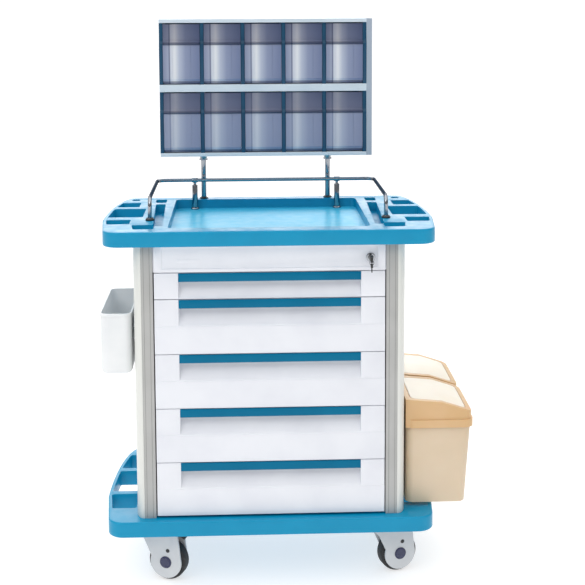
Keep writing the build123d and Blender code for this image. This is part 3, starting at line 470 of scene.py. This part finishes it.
@dataclass(frozen=True)
class ClearTint(Finish):
    """Clear tinted polystyrene, injection moulded: glossy and blue-grey.

    The upright sheen, the thin dark line and the darker top band are held in the colour, by each
    bin's own place. They stand for a curved wall's reflections, which flat walls don't give.
    """

    name: str = "polystyrene_blue_grey"
    sheen: Tuple[Tuple[float, str], ...] = (
        (0.0, "#66739B"), (0.05, "#8C95B4"), (0.18, "#A9B1C9"), (0.208, "#677090"), (0.235, "#DCE1EE"),
        (0.34, "#F6F8FC"), (0.45, "#C3CBDF"), (0.6, "#98A3C2"), (1.0, "#6F7EA6"),
    )
    band: Tuple[Tuple[float, str], ...] = (
        (0.0, "#FFFFFF"), (0.515, "#FFFFFF"), (0.53, "#7C7F8C"), (0.555, "#7C7F8C"), (0.575, "#C3C3C9"),
        (0.9, "#A9ABB5"),
    )
    pitch: Tuple[float, float] = (109.4, 185.0)
    start: Tuple[float, float] = (-281.0, 1072.0)
    lower_row: str = "#9DA6C1"
    row_break: Tuple[float, float] = (1.2, 1.26)
    see_through: float = 0.22

    def share(
        self, tree: bpy.types.NodeTree, along: bpy.types.NodeSocket, pitch: float, start: float,
    ) -> bpy.types.NodeSocket:
        """How far along its own bin a point is, from nought to one.

        Args:
            tree: The material's node tree.
            along: The coordinate, in metres.
            pitch: Spacing of the bins in millimetres.
            start: Where the first bin starts, in millimetres.

        Returns:
            The share's socket.
        """
        scaled = add_node(
            tree, "ShaderNodeMath", {"operation": "MULTIPLY_ADD", 1: 1000 / pitch, 2: -start / pitch},
            {0: along},
        )
        return add_node(tree, "ShaderNodeMath", {"operation": "FRACT"}, {0: scaled.outputs[0]}).outputs[0]

    def ramp(
        self, tree: bpy.types.NodeTree, share: bpy.types.NodeSocket, stops: Tuple[Tuple[float, str], ...],
    ) -> bpy.types.NodeSocket:
        """A colour ramp with the given stops.

        Args:
            tree: The material's node tree.
            share: Where along the ramp.
            stops: Positions and colours.

        Returns:
            The colour's socket.
        """
        ramp = add_node(tree, "ShaderNodeValToRGB", links={"Fac": share})
        elements = ramp.color_ramp.elements
        elements[0].position, elements[1].position = stops[0][0], stops[-1][0]
        elements[0].color, elements[1].color = linear(stops[0][1]), linear(stops[-1][1])
        for position, colour in stops[1:-1]:
            elements.new(position).color = linear(colour)
        return ramp.outputs["Color"]

    def shade(self, tree: bpy.types.NodeTree, place: bpy.types.NodeSocket) -> bpy.types.Node:
        """Builds the shader.

        Args:
            tree: The material's node tree.
            place: Object coordinates.

        Returns:
            The shader node.
        """
        # Sink marks some 12 mm wide are all that breaks up a polished moulding's reflection.
        sink = add_node(tree, "ShaderNodeTexNoise", {"Scale": 1000 / 12, "Detail": 1.0}, {"Vector": place})
        bump = add_node(
            tree, "ShaderNodeBump", {"Strength": 0.4, "Distance": 0.00025}, {"Height": sink.outputs["Fac"]},
        )
        split = add_node(tree, "ShaderNodeSeparateXYZ", links={"Vector": place})
        across = self.share(tree, split.outputs["X"], self.pitch[0], self.start[0])
        upward = self.share(tree, split.outputs["Z"], self.pitch[1], self.start[1])
        # The painted sheen is fainter on the lower row, where it is mixed towards one flatter colour.
        row = add_node(
            tree, "ShaderNodeMapRange",
            {"From Min": self.row_break[0], "From Max": self.row_break[1], "To Min": 0.55, "To Max": 1.0},
            {"Value": split.outputs["Z"]},
        )
        # Painted highlight: the upright sheen across each bin, held in the colour.
        row_sheen = add_node(
            tree, "ShaderNodeMix", {"data_type": "RGBA", 6: linear(self.lower_row)},
            {0: row.outputs[0], 7: self.ramp(tree, across, self.sheen)},
        )
        # Painted dark line at the step and darker top band, multiplied over the colour.
        banded = add_node(
            tree, "ShaderNodeMix", {"data_type": "RGBA", "blend_type": "MULTIPLY", 0: 1.0},
            {6: row_sheen.outputs[2], 7: self.ramp(tree, upward, self.band)},
        )
        return add_node(
            tree, "ShaderNodeBsdfPrincipled",
            {"Roughness": 0.2, "IOR": 1.5, "Transmission Weight": self.see_through, "Specular IOR Level": 0.4},
            {"Base Color": banded.outputs[2], "Normal": bump.outputs["Normal"]},
        )


@dataclass(frozen=True)
class Metal(Finish):
    """Plated or drawn metal: its colour, how rough it is, and the size of its marks."""

    name: str
    colour: str
    roughness: float
    mark: float
    spread: float = 0.06
    stretch: Point = (1.0, 1.0, 1.0)
    edge: str = "#FFFFFF"

    def shade(self, tree: bpy.types.NodeTree, place: bpy.types.NodeSocket) -> bpy.types.Node:
        """Builds the shader.

        Args:
            tree: The material's node tree.
            place: Object coordinates.

        Returns:
            The shader node.
        """
        scaled = add_node(tree, "ShaderNodeMapping", {"Scale": self.stretch}, {"Vector": place})
        marks = add_node(
            tree, "ShaderNodeTexNoise", {"Scale": 1000 / self.mark, "Detail": 4.0},
            {"Vector": scaled.outputs[0]},
        )
        rough = add_node(
            tree, "ShaderNodeMapRange",
            {"To Min": max(0.02, self.roughness - self.spread), "To Max": self.roughness + self.spread},
            {"Value": marks.outputs["Fac"]},
        )
        bump = add_node(
            tree, "ShaderNodeBump", {"Strength": 0.12, "Distance": 0.00005}, {"Height": marks.outputs["Fac"]},
        )
        return add_node(
            tree, "ShaderNodeBsdfPrincipled",
            {"Base Color": linear(self.colour), "Metallic": 1.0, "Specular Tint": linear(self.edge)},
            {"Roughness": rough.outputs[0], "Normal": bump.outputs["Normal"]},
        )


@dataclass(frozen=True)
class Sprayed(Finish):
    """Powder-coated sheet steel: a pebbled skin about 1.4 mm across, satin."""

    name: str
    colour: str
    roughness: float = 0.42

    def shade(self, tree: bpy.types.NodeTree, place: bpy.types.NodeSocket) -> bpy.types.Node:
        """Builds the shader.

        Args:
            tree: The material's node tree.
            place: Object coordinates.

        Returns:
            The shader node.
        """
        pebble = add_node(
            tree, "ShaderNodeTexVoronoi", {"Scale": 1000 / 1.4, "feature": "SMOOTH_F1"}, {"Vector": place},
        )
        bump = add_node(
            tree, "ShaderNodeBump", {"Strength": 0.35, "Distance": 0.00003},
            {"Height": pebble.outputs["Distance"]},
        )
        cloud = add_node(tree, "ShaderNodeTexNoise", {"Scale": 1000 / 140, "Detail": 3.0}, {"Vector": place})
        pale = linear(self.colour)
        dull = tuple(channel * 0.93 for channel in pale[:3]) + (1.0,)
        mix = add_node(
            tree, "ShaderNodeMix", {"data_type": "RGBA", 6: dull, 7: pale}, {0: cloud.outputs["Fac"]},
        )
        return add_node(
            tree, "ShaderNodeBsdfPrincipled", {"Roughness": self.roughness, "IOR": 1.5},
            {"Base Color": mix.outputs[2], "Normal": bump.outputs["Normal"]},
        )


@dataclass(frozen=True)
class TyreRubber(Finish):
    """Thermoplastic rubber tread: dull black with pale floor dust in its pores."""

    name: str = "tyre_rubber"
    colour: str = "#242426"
    dust: str = "#55534F"

    def shade(self, tree: bpy.types.NodeTree, place: bpy.types.NodeSocket) -> bpy.types.Node:
        """Builds the shader.

        Args:
            tree: The material's node tree.
            place: Object coordinates.

        Returns:
            The shader node.
        """
        dirt = add_node(tree, "ShaderNodeTexNoise", {"Scale": 1000 / 7, "Detail": 6.0}, {"Vector": place})
        amount = add_node(
            tree, "ShaderNodeMapRange", {"From Min": 0.52, "From Max": 0.8, "To Max": 0.55},
            {"Value": dirt.outputs["Fac"]},
        )
        mix = add_node(
            tree, "ShaderNodeMix", {"data_type": "RGBA", 6: linear(self.colour), 7: linear(self.dust)},
            {0: amount.outputs[0]},
        )
        pores = add_node(tree, "ShaderNodeTexNoise", {"Scale": 1000 / 0.8, "Detail": 2.0}, {"Vector": place})
        bump = add_node(
            tree, "ShaderNodeBump", {"Strength": 0.5, "Distance": 0.00006}, {"Height": pores.outputs["Fac"]},
        )
        return add_node(
            tree, "ShaderNodeBsdfPrincipled", {"Roughness": 0.62, "IOR": 1.5},
            {"Base Color": mix.outputs[2], "Normal": bump.outputs["Normal"]},
        )


# ABS in hospital blue, satin: the trays' broad faces take soft highlights.
# The paler blue on the trays' sunk work area is a painted highlight.
TRAY_BLUE = DeckTone("abs_tray_blue", "#0094BF", "#008FBA", Grain.SATIN, 0.34, shine=0.28)
# ABS in off-white with a faint mould grain: drawer fronts.
FRONT_WHITE = Moulded("abs_front_white", "#ECEEF4", "#E6E8EF", Grain.SATIN, 0.36, 0.2)
# ABS in petrol blue: the inlay along each drawer's grip.
STRIP_TEAL = Moulded("abs_strip_teal", "#007096", "#006B90", Grain.POLISHED, 0.34, shine=0.12)
# Polypropylene, natural grey-white: the drawers' inside boxes.
BOX_GREY = Moulded("polypropylene_box_grey", "#D3D6D9", "#C8CCD0", Grain.LEATHERED, 0.5)
# ABS column profile, warm grey with a pale corner.
COLUMN_GREY = TwoTone("abs_column_grey", "#B9B9B7", "#B2B2B0", Grain.SATIN, 0.4)
# A darker grey line moulded along the column profile.
LINE_GREY = Moulded("abs_line_grey", "#8D8E8C", "#868785", Grain.SATIN, 0.45)
# Powder-coated sheet steel: side and back panels.
PANEL_PAINT = Sprayed("powder_coat_light_grey", "#D9DBDA")
# Zinc-plated sheet steel: channels, hangers, plates.
ZINC = Metal("zinc_plated_steel", "#A9ACAE", 0.36, 5.0, 0.1)
# Chromed tube: near mirror with fine wipe marks.
CHROME = Metal("chromed_steel", "#A4A8AE", 0.14, 14.0, 0.04, (1.0, 1.0, 4.0), "#4A4E54")
# Pale blue ABS plates around the tip-out bins.
RACK_PALE = TwoTone(
    "abs_rack_pale_blue", "#CFDCE6", "#C6D5E0", Grain.SATIN, 0.36, corner="#A3B0BF", edge=271.0, both=False,
)
# Dark blue ABS housing behind and between the bins.
RACK_DARK = Moulded("abs_rack_dark_blue", "#164C6B", "#134462", Grain.SATIN, 0.4, shine=0.3)
BIN_CLEAR = ClearTint()
# White polypropylene: the utility box.
BOX_WHITE = Moulded("polypropylene_white", "#F0F2F3", "#E8EBED", Grain.SATIN, 0.35, 0.1)
# Beige polypropylene, slightly waxy: the waste buckets.
BUCKET_BEIGE = Moulded("polypropylene_beige", "#DFCBB0", "#DAC5A8", Grain.SATIN, 0.4, 0.0, 120.0, 0.08)
# Light orange polypropylene: the buckets' lids.
LID_ORANGE = Moulded("polypropylene_light_orange", "#DDB788", "#D8B07D", Grain.SATIN, 0.38, 0.0, 120.0, 0.08)
# Cream polypropylene: the swing flaps.
FLAP_CREAM = Moulded("polypropylene_cream", "#F7EDDD", "#F3E7D4", Grain.SATIN, 0.38, 0.0, 120.0, 0.08)
# Nylon in light grey: caster shells and wheel cores.
CASTER_GREY = Moulded("nylon_light_grey", "#D6D8DB", "#CDD0D3", Grain.SATIN, 0.38)
# Glossy navy cap pressed into the caster's side.
HUB_NAVY = Moulded("abs_hub_navy", "#2B3058", "#252A50", Grain.POLISHED, 0.25, 0.3)
TYRE = TyreRubber()
# Black glass-filled nylon: pedals, keys, plugs and collars.
BLACK = Moulded("nylon_black", "#1D1E21", "#17181A", Grain.SATIN, 0.42)


# ---- Sub-assemblies ---------------------------------------------------------------------------
@dataclass
class Screw:
    """A cross-recessed pan-head screw, modelled once and copied."""

    radius: float = 4.0
    height: float = 1.8
    recess: float = 2.2

    def build(self) -> bpy.types.Object:
        """Models the head at the origin, facing +Z.

        Returns:
            The head, not mounted.
        """
        bpy.ops.object.select_all(action="DESELECT")
        bpy.ops.mesh.primitive_cylinder_add(
            vertices=20, radius=self.radius / 1000, depth=self.height / 1000,
            location=(0, 0, self.height / 2000),
        )
        head = name_piece("screw_master")
        settle(head)
        soften(head, 0.9, 3)
        bpy.ops.object.select_all(action="DESELECT")
        bpy.ops.mesh.primitive_cube_add(size=1, location=(0, 0, self.height / 1000))
        cross = name_piece("screw_cross")
        cross.scale = metres(2 * self.recess, 0.9, 1.6)
        settle(cross)
        other = twin(cross, "screw_cross_turned", Matrix.Rotation(math.radians(90), 4, "Z"))
        for cutter in (cross, other):
            select_only(head)
            cut = head.modifiers.new("recess", "BOOLEAN")
            cut.object = cutter
            bpy.ops.object.modifier_apply(modifier=cut.name)
            bpy.data.objects.remove(cutter)
        return head

    def place(self, spots: Sequence[Tuple[str, Point, Point]], body: str, slot: str, finish: Finish) -> None:
        """Copies the head to its places.

        Args:
            spots: For each screw, its name, its place in millimetres and the way it faces.
            body: The body that the screws ride on.
            slot: The record's material slot; not used.
            finish: Their finish.
        """
        head = self.build()
        for name, spot, facing in spots:
            turn = Vector((0, 0, 1)).rotation_difference(Vector(facing)).to_matrix().to_4x4()
            mount_piece(twin(head, name, Matrix.Translation(metres(*spot)) @ turn), body, finish)
        bpy.data.objects.remove(head)


@dataclass
class Trays:
    """The worktop and the base tray."""

    edge: float = 1.2

    def build(self) -> None:
        """Dresses both trays with softened edges."""
        for node in ("top_tray", "base_tray"):
            skin(node, TRAY_BLUE, self.edge, 3)


@dataclass
class Cabinet:
    """Columns, panels, fascia and the runner channels."""

    bay: float = 289.0
    face: float = 235.0
    bottom: float = 182.0
    top: float = 875.0
    line_width: float = 1.2
    line_places: Tuple[float, float] = (7.0, 22.0)
    label: Tuple[float, float, float, float] = (-229.0, -171.0, 833.5, 841.0)
    label_y: float = -233.5
    panel_back: float = 232.0

    def build(self) -> None:
        """Dresses the cabinet's nodes and adds its lines, label field and screws."""
        skin("corner_columns", COLUMN_GREY, 0.8)
        for node in ("side_panels", "back_panel"):
            skin(node, PANEL_PAINT, 0.5)
        skin("lock_fascia", FRONT_WHITE, 1.0, 3)
        skin("runner_channels", ZINC, 0.3)
        self.column_lines()
        self.label_field()
        self.back_screws()

    def column_lines(self) -> None:
        """Adds the fine lines that run up each column's front and back face."""
        for side, side_name in ((-1, "left"), (1, "right")):
            for end, end_name in ((-1, "front"), (1, "rear")):
                for number, inset in enumerate(self.line_places, 1):
                    x = side * (self.bay + inset)
                    xs = sorted((x, x + side * self.line_width))
                    ys = sorted((end * (self.face - 0.6), end * (self.face + 0.25)))
                    line = bar(
                        f"column_line_{side_name}_{end_name}_{number}",
                        (xs[0], ys[0], self.bottom), (xs[1], ys[1], self.top), 0.2,
                    )
                    mount_piece(line, "cart", LINE_GREY)

    def label_field(self) -> None:
        """Adds the low raised field on the fascia, left blank."""
        x0, x1, z0, z1 = self.label
        field = bar("label_field", (x0, self.label_y - 0.4, z0), (x1, self.label_y + 0.5, z1), 0.3)
        mount_piece(field, "cart", FRONT_WHITE)

    def back_screws(self) -> None:
        """Adds the screws that hold the back panel to the rear columns."""
        spots = []
        for side, side_name in ((-1, "left"), (1, "right")):
            for number in range(5):
                z = self.bottom + 30 + number * (self.top - self.bottom - 60) / 4
                spot = (side * 278, self.panel_back, z)
                spots.append((f"panel_screw_{side_name}_{number + 1}", spot, (0, 1, 0)))
        Screw().place(spots, "cart", "runner_steel", ZINC)


@dataclass
class Drawers:
    """The five drawers: fronts, grip inlays and boxes."""

    count: int = 5

    def build(self) -> None:
        """Dresses each drawer's nodes."""
        for number in range(1, self.count + 1):
            skin(f"drawer_front_{number}", FRONT_WHITE, 1.4, 3)
            skin(f"drawer_strip_{number}", STRIP_TEAL, 0.5)
            self.box(number)

    def box(self, number: int) -> None:
        """Splits a drawer box's node into the box and its two rails, and dresses them.

        Args:
            number: The drawer's number, from the top.
        """
        node = f"drawer_box_{number}"
        left, middle, right = separate_solids(copy_of(node))
        for piece, name in ((left, "rail_left"), (middle, "tub"), (right, "rail_right")):
            piece.name = f"drawer_{number}_{name}"
            tub = name == "tub"
            soften(piece, 0.8 if tub else 0.3)
            mount_piece(
                piece, f"drawer_{number}",
                BOX_GREY if tub else ZINC,
            )
        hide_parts(node)


@dataclass
class GuardRail:
    """The chromed rail around the worktop's back and its two rack posts."""

    post_x: float = 303.0
    post_y: float = -97.0
    stand_x: float = 199.0
    stand_y: float = 209.0
    deck: float = 915.0
    floor: float = 890.0
    collar_radius: float = 11.5
    collar_height: float = 5.0
    rack_post_x: float = 175.0
    rack_post_y: float = 242.0
    socket: float = 1029.0

    def build(self) -> None:
        """Dresses the rail and posts, and adds their collars."""
        skin("guard_rail", CHROME, 0.5)
        skin("rack_posts", CHROME, 0.5)
        master = self.collar(self.collar_radius, self.collar_height, 5.2)
        spots = (
            ("rail_collar", self.post_x, self.post_y, self.deck, BLACK, "black_plastic"),
            ("stand_collar", self.stand_x, self.stand_y, self.floor, CHROME, "chrome"),
        )
        for name, x, y, z, finish, slot in spots:
            for side, side_name in ((-1, "left"), (1, "right")):
                move = Matrix.Translation(metres(side * x, y, z))
                mount_piece(twin(master, f"{name}_{side_name}", move), "cart", finish)
        bpy.data.objects.remove(master)
        flange = self.collar(12.0, 4.0, 7.2)
        for side, side_name in ((-1, "left"), (1, "right")):
            for name, z in (("post_collar", self.deck), ("post_flange", self.socket - 4.0)):
                move = Matrix.Translation(metres(side * self.rack_post_x, self.rack_post_y, z))
                finish, slot = (BLACK, "black_plastic") if name == "post_collar" else (CHROME, "chrome")
                mount_piece(twin(flange, f"{name}_{side_name}", move), "cart", finish)
        bpy.data.objects.remove(flange)

    def collar(self, radius: float, height: float, bore: float) -> bpy.types.Object:
        """A stepped collar on the XY plane, turned about its own bore.

        Args:
            radius: Outer radius.
            height: Height.
            bore: Radius of the hole.

        Returns:
            The collar, not mounted.
        """
        bpy.ops.object.select_all(action="DESELECT")
        bpy.ops.mesh.primitive_circle_add(vertices=40, radius=radius / 1000, location=(0, 0, 0))
        piece = name_piece("collar_master")
        bpy.ops.object.mode_set(mode="EDIT")
        bpy.ops.mesh.select_all(action="SELECT")
        steps = (
            (height * 0.55, 1.0), (height * 0.45, 0.86), (0.0, bore / (radius * 0.86)), (-height, 1.0),
        )
        for rise, share in steps:
            bpy.ops.mesh.extrude_region_move(TRANSFORM_OT_translate={"value": (0, 0, rise / 1000)})
            bpy.ops.transform.resize(value=(share, share, 1))
        bpy.ops.mesh.extrude_region_move()
        share = radius / bore
        bpy.ops.transform.resize(value=(share, share, 1))
        bpy.ops.mesh.select_all(action="SELECT")
        bpy.ops.mesh.remove_doubles(threshold=0.00001)
        bpy.ops.mesh.normals_make_consistent(inside=False)
        bpy.ops.object.mode_set(mode="OBJECT")
        soften(piece, 0.5)
        return piece


@dataclass
class BinRack:
    """The two rows of tip-out bins with their frames."""

    width: float = 572.0
    cap: float = 15.0
    divider: float = 10.0
    count: int = 5
    front: float = 94.0
    feet: Tuple[float, float] = (1257.0, 1072.0)
    rib_places: Tuple[float, ...] = (0.25, 0.75)

    def build(self) -> None:
        """Dresses the rack and its bins, and adds each bin's moulded ribs."""
        skin("rack_frame", RACK_PALE, 1.0, 3)
        skin("rack_housing", RACK_DARK, 0.6)
        skin("rack_bracket", ZINC, 0.4)
        pitch = (self.width - self.cap - self.divider) / self.count
        for row, foot in enumerate(self.feet):
            for column in range(self.count):
                number = row * self.count + column + 1
                skin(f"tilt_bin_{number:02d}", BIN_CLEAR, 1.2, 3)
                middle = -self.width / 2 + self.divider / 2 + pitch * (column + 0.5)
                self.ribs(number, middle, pitch - self.divider, foot)
        self.screws()

    def ribs(self, number: int, middle: float, span: float, foot: float) -> None:
        """Adds two slim upright ribs below the upper band of one bin's face.

        Args:
            number: The bin's number.
            middle: The bin's middle along X.
            span: The bin's width.
            foot: Height of the bin's hinge.
        """
        for index, share in enumerate(self.rib_places, 1):
            x = middle + (share - 0.5) * span
            rib = bar(
                f"bin_{number:02d}_rib_{index}", (x - 0.8, self.front - 0.8, foot + 10),
                (x + 0.8, self.front + 0.5, foot + 94), 0.35,
            )
            mount_piece(rib, f"bin_{number:02d}", BIN_CLEAR)

    def screws(self) -> None:
        """Adds the screws that hold the bracket to the two frames."""
        spots = []
        for side, side_name in ((-1, "left"), (1, "right")):
            for number, z in enumerate((1075.0, 1160.0, 1240.0, 1320.0, 1390.0), 1):
                spots.append((f"bracket_screw_{side_name}_{number}", (side * 203, 234.5, z), (0, 1, 0)))
        Screw(3.5, 1.6).place(spots, "cart", "plate_steel", ZINC)


@dataclass
class SideBins:
    """Hangers, the utility box and the two waste bins."""

    ends: Tuple[str, str] = ("front", "rear")

    def build(self) -> None:
        """Dresses the side pieces."""
        skin("side_hangers", ZINC, 0.4)
        skin("utility_box", BOX_WHITE, 1.2, 3)
        for end in self.ends:
            skin(f"waste_bucket_{end}", BUCKET_BEIGE, 1.2, 3)
            skin(f"waste_lid_{end}", LID_ORANGE, 1.4, 3)
            skin(f"waste_flap_{end}", FLAP_CREAM, 0.9, 3)


@dataclass
class Casters:
    """Four full-cover swivel casters, two with a brake pedal."""

    reach_x: float = 294.0
    reach_y: float = 172.0
    trail: float = 34.0
    axle: float = 50.0
    cheek: float = 23.5
    cap_radius: float = 15.5
    cap_dome: float = 3.0
    plug_radius: float = 5.0
    turns: Tuple[Tuple[str, float], ...] = (
        ("front_left", -20.0), ("front_right", 18.0), ("rear_left", -8.0), ("rear_right", 24.0),
    )

    def build(self) -> None:
        """Dresses the casters and adds their caps and plugs."""
        self.plates()
        cap = self.dome(self.cap_radius, self.cap_dome)
        plug = self.dome(self.plug_radius, 1.2)
        for name, turn in self.turns:
            self.caster(name, turn, cap, plug)
        for master in (cap, plug):
            bpy.data.objects.remove(master)
        for name in ("front_left", "rear_right"):
            skin(f"brake_pedal_{name}", BLACK, 0.8)

    def plates(self) -> None:
        """Splits the plates' node into plates and bolts, and dresses them."""
        parts = separate_solids(copy_of("caster_plates"))
        for number, part in enumerate(parts, 1):
            part.name = f"caster_plate_part_{number:02d}"
            soften(part, 0.5)
            mount_piece(part, "cart", ZINC)
        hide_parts("caster_plates")

    def dome(self, radius: float, height: float) -> bpy.types.Object:
        """A shallow round cap on the XY plane with a stepped, rounded rim.

        Args:
            radius: Outer radius.
            height: Height of its middle.

        Returns:
            The cap, not mounted.
        """
        bpy.ops.object.select_all(action="DESELECT")
        bpy.ops.mesh.primitive_circle_add(
            vertices=48, radius=radius / 1000, fill_type="NGON", location=(0, 0, 0),
        )
        piece = name_piece("cap_master")
        bpy.ops.object.mode_set(mode="EDIT")
        bpy.ops.mesh.select_all(action="SELECT")
        bpy.ops.mesh.extrude_region_move(TRANSFORM_OT_translate={"value": (0, 0, height * 0.45 / 1000)})
        for rise, thick in ((0.2, 0.08), (-0.12, 0.03), (0.0, 0.1), (0.2, 0.02), (0.22, 0.3), (0.05, 0.25)):
            bpy.ops.mesh.inset(thickness=radius * thick / 1000, depth=height * rise / 1000)
        bpy.ops.mesh.select_all(action="SELECT")
        bpy.ops.mesh.normals_make_consistent(inside=False)
        bpy.ops.object.mode_set(mode="OBJECT")
        bpy.ops.object.shade_smooth_by_angle(angle=math.radians(30))
        return piece

    def caster(self, name: str, turn: float, cap: bpy.types.Object, plug: bpy.types.Object) -> None:
        """Dresses one caster.

        Args:
            name: Which corner it is at.
            turn: The way it points, in degrees from +X.
            cap: The hub cap to copy.
            plug: The small plug to copy.
        """
        side = 1 if "right" in name else -1
        end = 1 if "rear" in name else -1
        swivel = Matrix.Translation(metres(side * self.reach_x, end * self.reach_y, 0))
        swivel = swivel @ Matrix.Rotation(math.radians(turn), 4, "Z")
        fork = f"caster_fork_{name}"
        solids = separate_solids(copy_of(fork))
        shell = max(solids, key=lambda part: (corners_of(part)[1] - corners_of(part)[0]).z)
        for part in solids:
            part.name = f"caster_{name}_shell" if part is shell else f"caster_{name}_axle"
            soften(part, 1.2 if part is shell else 0.3, 3)
            finish, slot = (CASTER_GREY, "caster_grey") if part is shell else (ZINC, "plate_steel")
            mount_piece(part, f"swivel_{name}", finish)
        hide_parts(fork)
        wheel = f"caster_wheel_{name}"
        solids = separate_solids(copy_of(wheel))
        tyre = max(solids, key=lambda part: (corners_of(part)[1] - corners_of(part)[0]).z)
        for part in solids:
            part.name = f"caster_{name}_tyre" if part is tyre else f"caster_{name}_core"
            soften(part, 1.6 if part is tyre else 0.5, 3)
            finish, slot = (TYRE, "tyre") if part is tyre else (CASTER_GREY, "caster_grey")
            mount_piece(part, f"wheel_{name}", finish)
        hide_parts(wheel)
        for face, face_name in ((-1, "outer"), (1, "inner")):
            out = Matrix.Rotation(math.radians(90 if face < 0 else -90), 4, "X")
            for master, part_name, spot, finish, slot in (
                (cap, "cap", (self.trail, face * self.cheek, self.axle), HUB_NAVY, "black_plastic"),
                (plug, "plug", (self.trail + 6, face * self.cheek, self.axle + 31), BLACK, "black_plastic"),
            ):
                place = swivel @ Matrix.Translation(metres(*spot)) @ out
                piece = twin(master, f"caster_{name}_{part_name}_{face_name}", place)
                mount_piece(piece, f"swivel_{name}", finish)


@dataclass
class LockSet:
    """The cam lock with its key, the key ring and the spare key."""

    def build(self) -> None:
        """Dresses the lock's nodes; the ring is metal and the spare key is black."""
        skin("lock_cylinder", CHROME, 0.3)
        skin("lock_cam", ZINC, 0.2)
        skin("lock_key", BLACK, 0.5)
        solids = separate_solids(copy_of("spare_key"))
        ring = max(solids, key=lambda part: corners_of(part)[1].z)
        for part in solids:
            part.name = "key_ring" if part is ring else "spare_key_blade"
            soften(part, 0.1 if part is ring else 0.5)
            finish, slot = (CHROME, "chrome") if part is ring else (BLACK, "black_plastic")
            mount_piece(part, "spare", finish)
        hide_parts("spare_key")


# ---- Studio -----------------------------------------------------------------------------------
@dataclass
class Studio:
    """Floor, soft light and camera."""

    eye: Point = (-63.8, -3261.3, 1491.6)
    yaw: float = 0.040
    pitch: float = 0.1138
    roll: float = 0.0044
    lens: float = 76.92
    shift: float = -0.268
    floor_side: float = 30.0
    wall_y: float = 8.0
    floor_glow: float = 0.62
    wall_glow: float = 0.6
    surround: float = 0.27

    def build(self) -> None:
        """Sets up the floor, the lights and the camera."""
        self.floor()
        self.world()
        self.light("key_light", (-1900, -2400, 2600), (0, 0, 650), 1.4, 12)
        self.light("back_light", (0, 2300, 1800), (0, 0, 890), 2.2, 22)
        self.sky_light(2.6, (6.0, -4.6), 110.0)
        self.camera()

    def floor(self) -> None:
        """Adds the pale paper floor and the wall behind."""
        bpy.ops.object.select_all(action="DESELECT")
        bpy.ops.mesh.primitive_plane_add(size=self.floor_side, location=(0, 0, 0))
        floor = name_piece("floor")
        material = bpy.data.materials.new("matt_paper")
        material.use_nodes = True
        shader = material.node_tree.nodes["Principled BSDF"]
        shader.inputs["Base Color"].default_value = linear("#BEBEBE")
        shader.inputs["Roughness"].default_value = 0.9
        shader.inputs["Emission Color"].default_value = (1, 1, 1, 1)
        shader.inputs["Emission Strength"].default_value = self.floor_glow
        floor.data.materials.append(material)
        bpy.ops.object.select_all(action="DESELECT")
        bpy.ops.mesh.primitive_plane_add(
            size=self.floor_side, location=(0, self.wall_y, 0), rotation=(math.radians(90), 0, 0),
        )
        wall = name_piece("backdrop")
        paper = material.copy()
        paper.node_tree.nodes["Principled BSDF"].inputs["Emission Strength"].default_value = self.wall_glow
        wall.data.materials.append(paper)

    def sky_light(self, strength: float, tilt: Tuple[float, float], softness: float) -> None:
        """Adds the broad even light from above.

        Args:
            strength: Its strength.
            tilt: How far it leans towards the front and towards the left, in degrees.
            softness: Its apparent width in degrees.
        """
        data = bpy.data.lights.new("sky_light", "SUN")
        data.energy = strength
        data.angle = math.radians(softness)
        lamp = bpy.data.objects.new("sky_light", data)
        bpy.context.scene.collection.objects.link(lamp)
        lamp.rotation_euler = (math.radians(tilt[0]), math.radians(tilt[1]), 0)

    def world(self) -> None:
        """Sets an even white surround and plain colour handling."""
        bpy.context.scene.view_settings.view_transform = "Standard"
        world = bpy.data.worlds.new("surround")
        bpy.context.scene.world = world
        world.use_nodes = True
        world.node_tree.nodes["Background"].inputs["Color"].default_value = (1, 1, 1, 1)
        world.node_tree.nodes["Background"].inputs["Strength"].default_value = self.surround

    def light(self, name: str, spot: Point, aim: Point, size: float, power: float) -> None:
        """Adds one square soft light.

        Args:
            name: Name of the light.
            spot: Where it is, in millimetres.
            aim: What it points at, in millimetres.
            size: Its side in metres.
            power: Its power in watts.
        """
        data = bpy.data.lights.new(name, "AREA")
        data.size = size
        data.energy = power
        lamp = bpy.data.objects.new(name, data)
        bpy.context.scene.collection.objects.link(lamp)
        lamp.location = metres(*spot)
        lamp.rotation_euler = (metres(*aim) - metres(*spot)).to_track_quat("-Z", "Y").to_euler()

    def camera(self) -> None:
        """Adds the camera at its eye point."""
        sin_y, cos_y = math.sin(self.yaw), math.cos(self.yaw)
        sin_p, cos_p = math.sin(self.pitch), math.cos(self.pitch)
        right = Vector((cos_y, -sin_y, 0))
        ahead = Vector((cos_p * sin_y, cos_p * cos_y, -sin_p))
        up = Vector((sin_p * sin_y, sin_p * cos_y, cos_p))
        sin_r, cos_r = math.sin(self.roll), math.cos(self.roll)
        columns = (cos_r * right - sin_r * up, sin_r * right + cos_r * up, -ahead)
        turn = Matrix(columns).transposed().to_4x4()
        data = bpy.data.cameras.new("camera")
        data.lens = self.lens
        data.sensor_width = 36
        data.shift_y = self.shift
        camera = bpy.data.objects.new("camera", data)
        bpy.context.scene.collection.objects.link(camera)
        camera.matrix_world = Matrix.Translation(metres(*self.eye)) @ turn
        bpy.context.scene.camera = camera


def main() -> None:
    """Builds the studio and every sub-assembly."""
    logging.basicConfig(level=logging.INFO, format="%(name)s: %(message)s")
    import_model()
    assemblies = (
        Studio(), Trays(), Cabinet(), Drawers(), GuardRail(), BinRack(), SideBins(), Casters(), LockSet(),
    )
    for assembly in assemblies:
        assembly.build()
        LOG.info("%s built", type(assembly).__name__)


if __name__ == "__main__":
    main()
